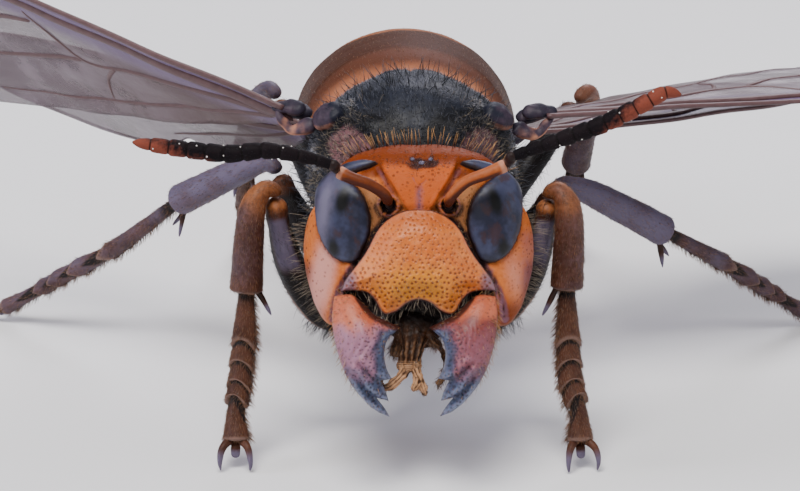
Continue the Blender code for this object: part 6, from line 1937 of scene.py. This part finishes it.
def head_coats(head, clypeus, jaws, mouth):
    skin = Skin(head)
    x, back, up = skin.own().T
    up = up - HEAD_HEIGHT
    ahead = ramp(1.5, -0.5, back)
    brim = bell(back - 0.9, 0.25) * ramp(3.0, 3.9, up) * ramp(4.4, 3.6, abs(x))
    rim = between(0.0, 0.9, 2.0, 3.4, back)
    cheek = ramp(3.6, 4.9, abs(x)) * ramp(1.6, 0.8, up) * rim
    chin = ramp(-1.4, -2.4, up) * ramp(3.0, 3.6, abs(x)) * rim
    face = ahead * (1 - ramp(2.9, 4.0, up)) * (skin.mark("orbit") + 0.02)
    forehead = ahead * ramp(4.0, 4.5, up) * ramp(2.6, 1.2, abs(x))
    ocelli = spot((x - 0.14) / 0.95, (up - 4.48) / 0.26) * ahead
    behind = between(1.2, 2.0, 3.4, 4.4, back) * (abs(x) > 2.5)
    away = outward_from(0, 1.4, HEAD_HEIGHT)
    coat("head_hair", GOLD_HAIR, "orange_cuticle", [
        hairs(skin, 84, brim, away, 11, length=0.98, width=0.022, lift=76, bend=0.12, stray=0.16),
        hairs(skin, 500, face, (0, -0.3, 1), 13, length=0.2, width=0.007, lift=30, stray=0.35),
        hairs(skin, 40, forehead, (0, -0.7, 0.6), 14, length=0.22, width=0.007, lift=60, bend=0.3, stray=0.3),
    ])
    coat("head_bristles", DARK_HAIR, "orange_cuticle", [
        hairs(skin, 100, ocelli, (0, -0.6, 0.8), 16, length=0.36, width=0.011, lift=62, bend=0.3, stray=0.35),
        hairs(skin, 900, behind, away, 17, length=0.8, width=0.013, lift=60, bend=0.3, stray=0.3),
    ])
    shield = Skin(clypeus)
    face = shield.mark("face")
    low = ramp(-1.3, -2.0, shield.mark("flat_y")) * ramp(0.35, 0.08, shield.mark("edge"))
    coat("face_hair", PALE_HAIR, "yellow_orange_cuticle", [
        hairs(shield, 380, face * (1 - low), (0, -0.2, -1), 21, 0.22, 0.007, lift=40, stray=0.4, tile=(0, 2)),
        hairs(shield, 90, face * low, (0, -0.5, -1), 22, 0.7, 0.011, 46, bend=0.15, stray=0.22, tile=(1, 2)),
    ])
    coat("cheek_fringe", PALE_HAIR, "orange_cuticle", [
        hairs(skin, 330, cheek, away, 12, length=1.05, width=0.01, lift=64, bend=0.25, stray=0.2),
        hairs(skin, 170, chin, away, 15, length=1.0, width=0.01, lift=58, stray=0.3),
    ])
    batches = []
    for k, jaw in enumerate(jaws):
        skin = Skin(jaw)
        outer = ramp(0.55, 0.15, skin.mark("edge")) * ramp(2.4, 3.6, abs(skin.mark("flat_x")))
        down = (0.6 * np.sign(skin.places[:, 0].mean()), -0.4, -1)
        loose = {"stray": 0.4, "tile": (k, 2)}
        batches.append(hairs(skin, 130, outer, down, 31 + k, length=0.42, width=0.011, lift=50, **loose))
        batches.append(hairs(skin, 110, skin.mark("face"), (0, -0.3, -1), 41 + k, 0.24, 0.008, **loose))
    coat("jaw_hair", GOLD_HAIR, "mandible_cuticle", batches)
    skin = Skin(mouth)
    part, along = skin.mark("part"), skin.mark("along")
    stem = (part == STEM) * ramp(0.1, 0.4, along)
    wall = (part == WALL) * ramp(0.3, 0.8, along)
    palps = (part == PALP) * ramp(0.35, 0.75, along)
    ends = (part == RIBBON) * ramp(0.45, 0.8, along)
    coat("mouth_hair", MOUTH_HAIR, "brown_cuticle", [
        hairs(skin, 150, stem, (0, -0.5, -1), 51, 0.26, 0.009, lift=20, bend=0.3, stray=0.3, tile=(0, 2)),
        hairs(skin, 260, wall, (0, -0.8, -0.9), 54, 0.34, 0.01, lift=30, stray=0.4, tile=(0, 2)),
        hairs(skin, 420, palps, (0, -0.5, -1), 52, 0.4, 0.012, lift=40, stray=0.4, tile=(1, 2)),
        hairs(skin, 200, ends, (0, -0.5, -0.6), 53, 0.13, 0.012, lift=60, bend=0.6, stray=0.8, tile=(1, 2)),
    ])


def body_coats(thorax, gaster):
    skin = Skin(thorax)
    x, back, up = skin.own().T
    x = x - body_x(back)
    top = ramp(11.0, 14.0, up)
    disc = ramp(6.0, 7.0, back) * top
    below = (1 - top) * ramp(16.5, 15.0, back)
    edge = bell(np.hypot(x / 5.2, (up - 12.1) / 4.9) - 1.0, 0.12) * between(5.5, 7.0, 8.5, 10.5, back)
    before = ramp(7.6, 6.6, back) * ramp(12.8, 13.6, up)
    arc = bell(collar_patch(x, up) - 1.15, 0.22) * before
    frill = bell(collar_patch(x, up) - 1.52, 0.1) * before * ramp(2.6, 3.4, abs(x))
    shoulder = ramp(7.5, 5.0, back)
    fringe = shoulder * (0.5 + 0.5 * top) * ramp(1.6, 3.4, abs(x))
    rear = ramp(13.0, 14.5, back) * top
    slope = (0, 0.8, 0.2)
    away = outward_from(0, 8.0, 11.5)
    forward = outward_from(0, 9.0, 11.5)
    coat("thorax_pile", BLUE_HAIR, "black_cuticle", [
        hairs(skin, 11500, 0.2 + disc, slope, 61, length=0.34, width=0.0085, lift=24, stray=0.16),
    ])
    coat("thorax_bristles", DARK_HAIR, "black_cuticle", [
        hairs(skin, 1800, 0.3 + disc, slope, 68, length=0.3, width=0.01, lift=34, stray=0.3),
        hairs(skin, 1300, below, (0, 0.4, -0.9), 62, length=0.85, width=0.014, lift=42, bend=0.6, stray=0.4),
        hairs(skin, 620, edge, away, 65, length=1.1, width=0.019, lift=66, bend=0.3, stray=0.35),
        hairs(skin, 2600, arc, away, 66, length=0.42, width=0.013, lift=60, bend=0.3, stray=0.3),
        hairs(skin, 900, shoulder * top, forward, 67, length=0.55, width=0.013, lift=55, stray=0.4),
    ])
    coat("collar_fringe", PALE_HAIR, "black_cuticle", [
        hairs(skin, 1500, fringe, forward, 63, length=0.62, width=0.01, lift=55, stray=0.35),
        hairs(skin, 800, rear, (0, 1, 0.4), 64, length=0.8, width=0.013, lift=50, bend=0.5, stray=0.4),
    ])
    away = outward_from(0, 9.0, 13.5)
    coat("collar_frill", GREY_HAIR, "black_cuticle", [
        hairs(skin, 850, frill, away, 69, length=0.36, width=0.012, lift=48, bend=0.3, stray=0.3),
    ])
    skin = Skin(gaster)
    along = skin.mark("along")
    pile = 0.5 + 0.8 * ramp(0.55, 1.0, along)
    tip = ramp(0.85, 1.0, along)
    coat("gaster_hair", BROWN_HAIR, "banded_cuticle", [
        hairs(skin, 6500, pile, "along", 71, length=0.3, width=0.009, lift=18, bend=0.3, stray=0.2),
        hairs(skin, 600, tip, "along", 72, length=0.7, width=0.013, lift=35, bend=0.3, stray=0.3),
    ])


def leg_coats(legs):
    for pair in ("fore", "mid", "hind"):
        brown, dark = [], []
        for k, leg in enumerate(leg for leg in legs if leg.name.startswith(pair)):
            skin = Skin(leg)
            part, along = skin.mark("part"), skin.mark("along")
            foot = (part == FOOT) * 1.0
            shin = (part == TIBIA) + 1.8 * foot
            thigh = ((part == FEMUR) | (part == COXA)) * 1.0
            tips = foot * ramp(0.8, 0.97, along)
            inward = -1 if "_left" in leg.name else 1
            brush = foot * ramp(0.35, 0.85, skin.normals @ unit(np.array((inward, 0.2, -0.5))))
            under = ramp(0.5, 0.9, -skin.normals[:, 2]) * (part == FEMUR)
            down = (-inward * 0.5, -0.2, -1)
            usual = {"tile": (k, 2)}
            brown += [
                hairs(skin, 3900, shin, "along", 81 + k, 0.24, 0.0075, lift=22, bend=0.3, stray=0.2, **usual),
                hairs(skin, 950, brush, "along", 83 + k, 0.5, 0.012, lift=40, bend=0.2, stray=0.22, **usual),
                hairs(skin, 260, tips, "along", 87 + k, 0.36, 0.012, lift=26, bend=0.1, **usual),
            ]
            dark += [
                hairs(skin, 1500, thigh, "along", 85 + k, 0.3, 0.009, lift=30, stray=0.3, **usual),
                hairs(skin, 130, under, down, 89 + k, 0.75, 0.011, lift=64, bend=0.3, **usual),
            ]
        coat(pair + "_leg_hair", BROWN_HAIR, "brown_cuticle", brown)
        coat(pair + "_thigh_hair", DARK_HAIR, "brown_cuticle", dark)


def feeler_coat(feelers):
    batches = []
    for k, feeler in enumerate(feelers):
        skin = Skin(feeler)
        even = np.ones(skin.count)
        down = hairs(skin, 700, even, "along", 91 + k, 0.06, 0.005, lift=30, bend=0.2, stray=0.3, tile=(k, 2))
        batches.append(down)
    coat("feeler_down", DARK_HAIR, "black_cuticle", batches)


# The room: a pale floor, soft lights and the camera. Floor and lights are given in metres.
FLOOR_HALF = 2.0
ROOM_COLOUR = (0.92, 0.93, 1.0)
ROOM_LIGHT = 0.24
LIT = (0, -0.01, 0.012)  # the place that every light points at
# Each light's place, width, power and colour.
LIGHTS = {
    "key_light": ((-0.06, -0.22, 0.46), 0.28, 3.6, (1.0, 0.97, 0.94)),
    "left_light": ((-0.42, -0.1, 0.2), 0.26, 1.3, (0.84, 0.84, 1.0)),
    "right_light": ((0.44, -0.12, 0.22), 0.34, 0.7, (0.84, 0.86, 1.0)),
    "back_light": ((0.1, 0.42, 0.34), 0.3, 1.6, (0.92, 0.9, 1.0)),
}


def make_room():
    mesh = bmesh.new()
    bmesh.ops.create_grid(mesh, x_segments=2, y_segments=2, size=FLOOR_HALF)
    data = bpy.data.meshes.new("floor")
    mesh.to_mesh(data)
    mesh.free()
    floor = bpy.data.objects.new("floor", data)
    bpy.context.scene.collection.objects.link(floor)
    finish = Finish("pale_floor")
    mottle = finish.noise(0.02, 3.0)
    finish.lay("Base Color", finish.blend(mottle, (0.78, 0.78, 0.79), (0.82, 0.82, 0.83)))
    finish.lay("Roughness", 0.7 + mottle * 0.1)
    data.materials.append(finish.material)
    world = bpy.data.worlds.new("pale_room")
    world.use_nodes = True
    background = world.node_tree.nodes["Background"]
    background.inputs["Color"].default_value = (*ROOM_COLOUR, 1.0)
    background.inputs["Strength"].default_value = ROOM_LIGHT
    bpy.context.scene.world = world


def make_lights():
    for name, (place, size, power, colour) in LIGHTS.items():
        data = bpy.data.lights.new(name, "AREA")
        data.shape = "DISK"
        data.size = size
        data.energy = power
        data.color = colour
        lamp = bpy.data.objects.new(name, data)
        lamp.location = place
        lamp.rotation_euler = (Vector(LIT) - Vector(place)).to_track_quat("-Z", "Y").to_euler()
        bpy.context.scene.collection.objects.link(lamp)


PHOTO_WIDTH = 800
SENSOR_WIDTH = 36.0
NEAREST_SEEN = 0.001
PIXELS_PER_MM = 21.1
CAMERA_AWAY = 160.0
CAMERA_PITCH = radians(18)
HEAD_IN_VIEW = (-0.8815, 0.2133)  # the view's middle from the head's, across and up


def make_camera():
    across, rise = HEAD_IN_VIEW
    head = Vector((*HEAD_AT, HEAD_HEIGHT))
    target = head + Vector((across, rise * sin(CAMERA_PITCH), rise * cos(CAMERA_PITCH)))
    data = bpy.data.cameras.new("camera")
    data.sensor_width = SENSOR_WIDTH
    data.lens = data.sensor_width * CAMERA_AWAY / (PHOTO_WIDTH / PIXELS_PER_MM)
    data.clip_start = NEAREST_SEEN
    camera = bpy.data.objects.new("camera", data)
    camera.location = (target + CAMERA_AWAY * Vector((0, -cos(CAMERA_PITCH), sin(CAMERA_PITCH)))) * METRES
    camera.rotation_euler = (pi / 2 - CAMERA_PITCH, 0, 0)
    bpy.context.scene.collection.objects.link(camera)
    bpy.context.scene.camera = camera


def main():
    make_room()
    make_camera()
    make_lights()
    head = make_head()
    make_ocelli()
    for side in (1, -1):
        make_eye(side)
    clypeus = make_clypeus()
    jaws = [make_jaw(side) for side in (1, -1)]
    mouth = make_mouth()
    feelers = []
    for side in SIDES:
        make_scape(side)
        feelers.append(make_flagellum(side))
    thorax = make_thorax()
    for side in SIDES:
        make_wing_joint(side)
    gaster = make_gaster()
    legs = [make_leg(name, joints) for name, joints in LEGS.items()]
    for side in SIDES:
        make_wing("forewing_" + side, FOREWING_OUTLINE, FOREWING_VEINS, FOREWING_LENGTH)
        make_wing("hindwing_" + side, HINDWING_OUTLINE, HINDWING_VEINS, HINDWING_LENGTH)
    head_coats(head, clypeus, jaws, mouth)
    body_coats(thorax, gaster)
    leg_coats(legs)
    feeler_coat(feelers)


main()
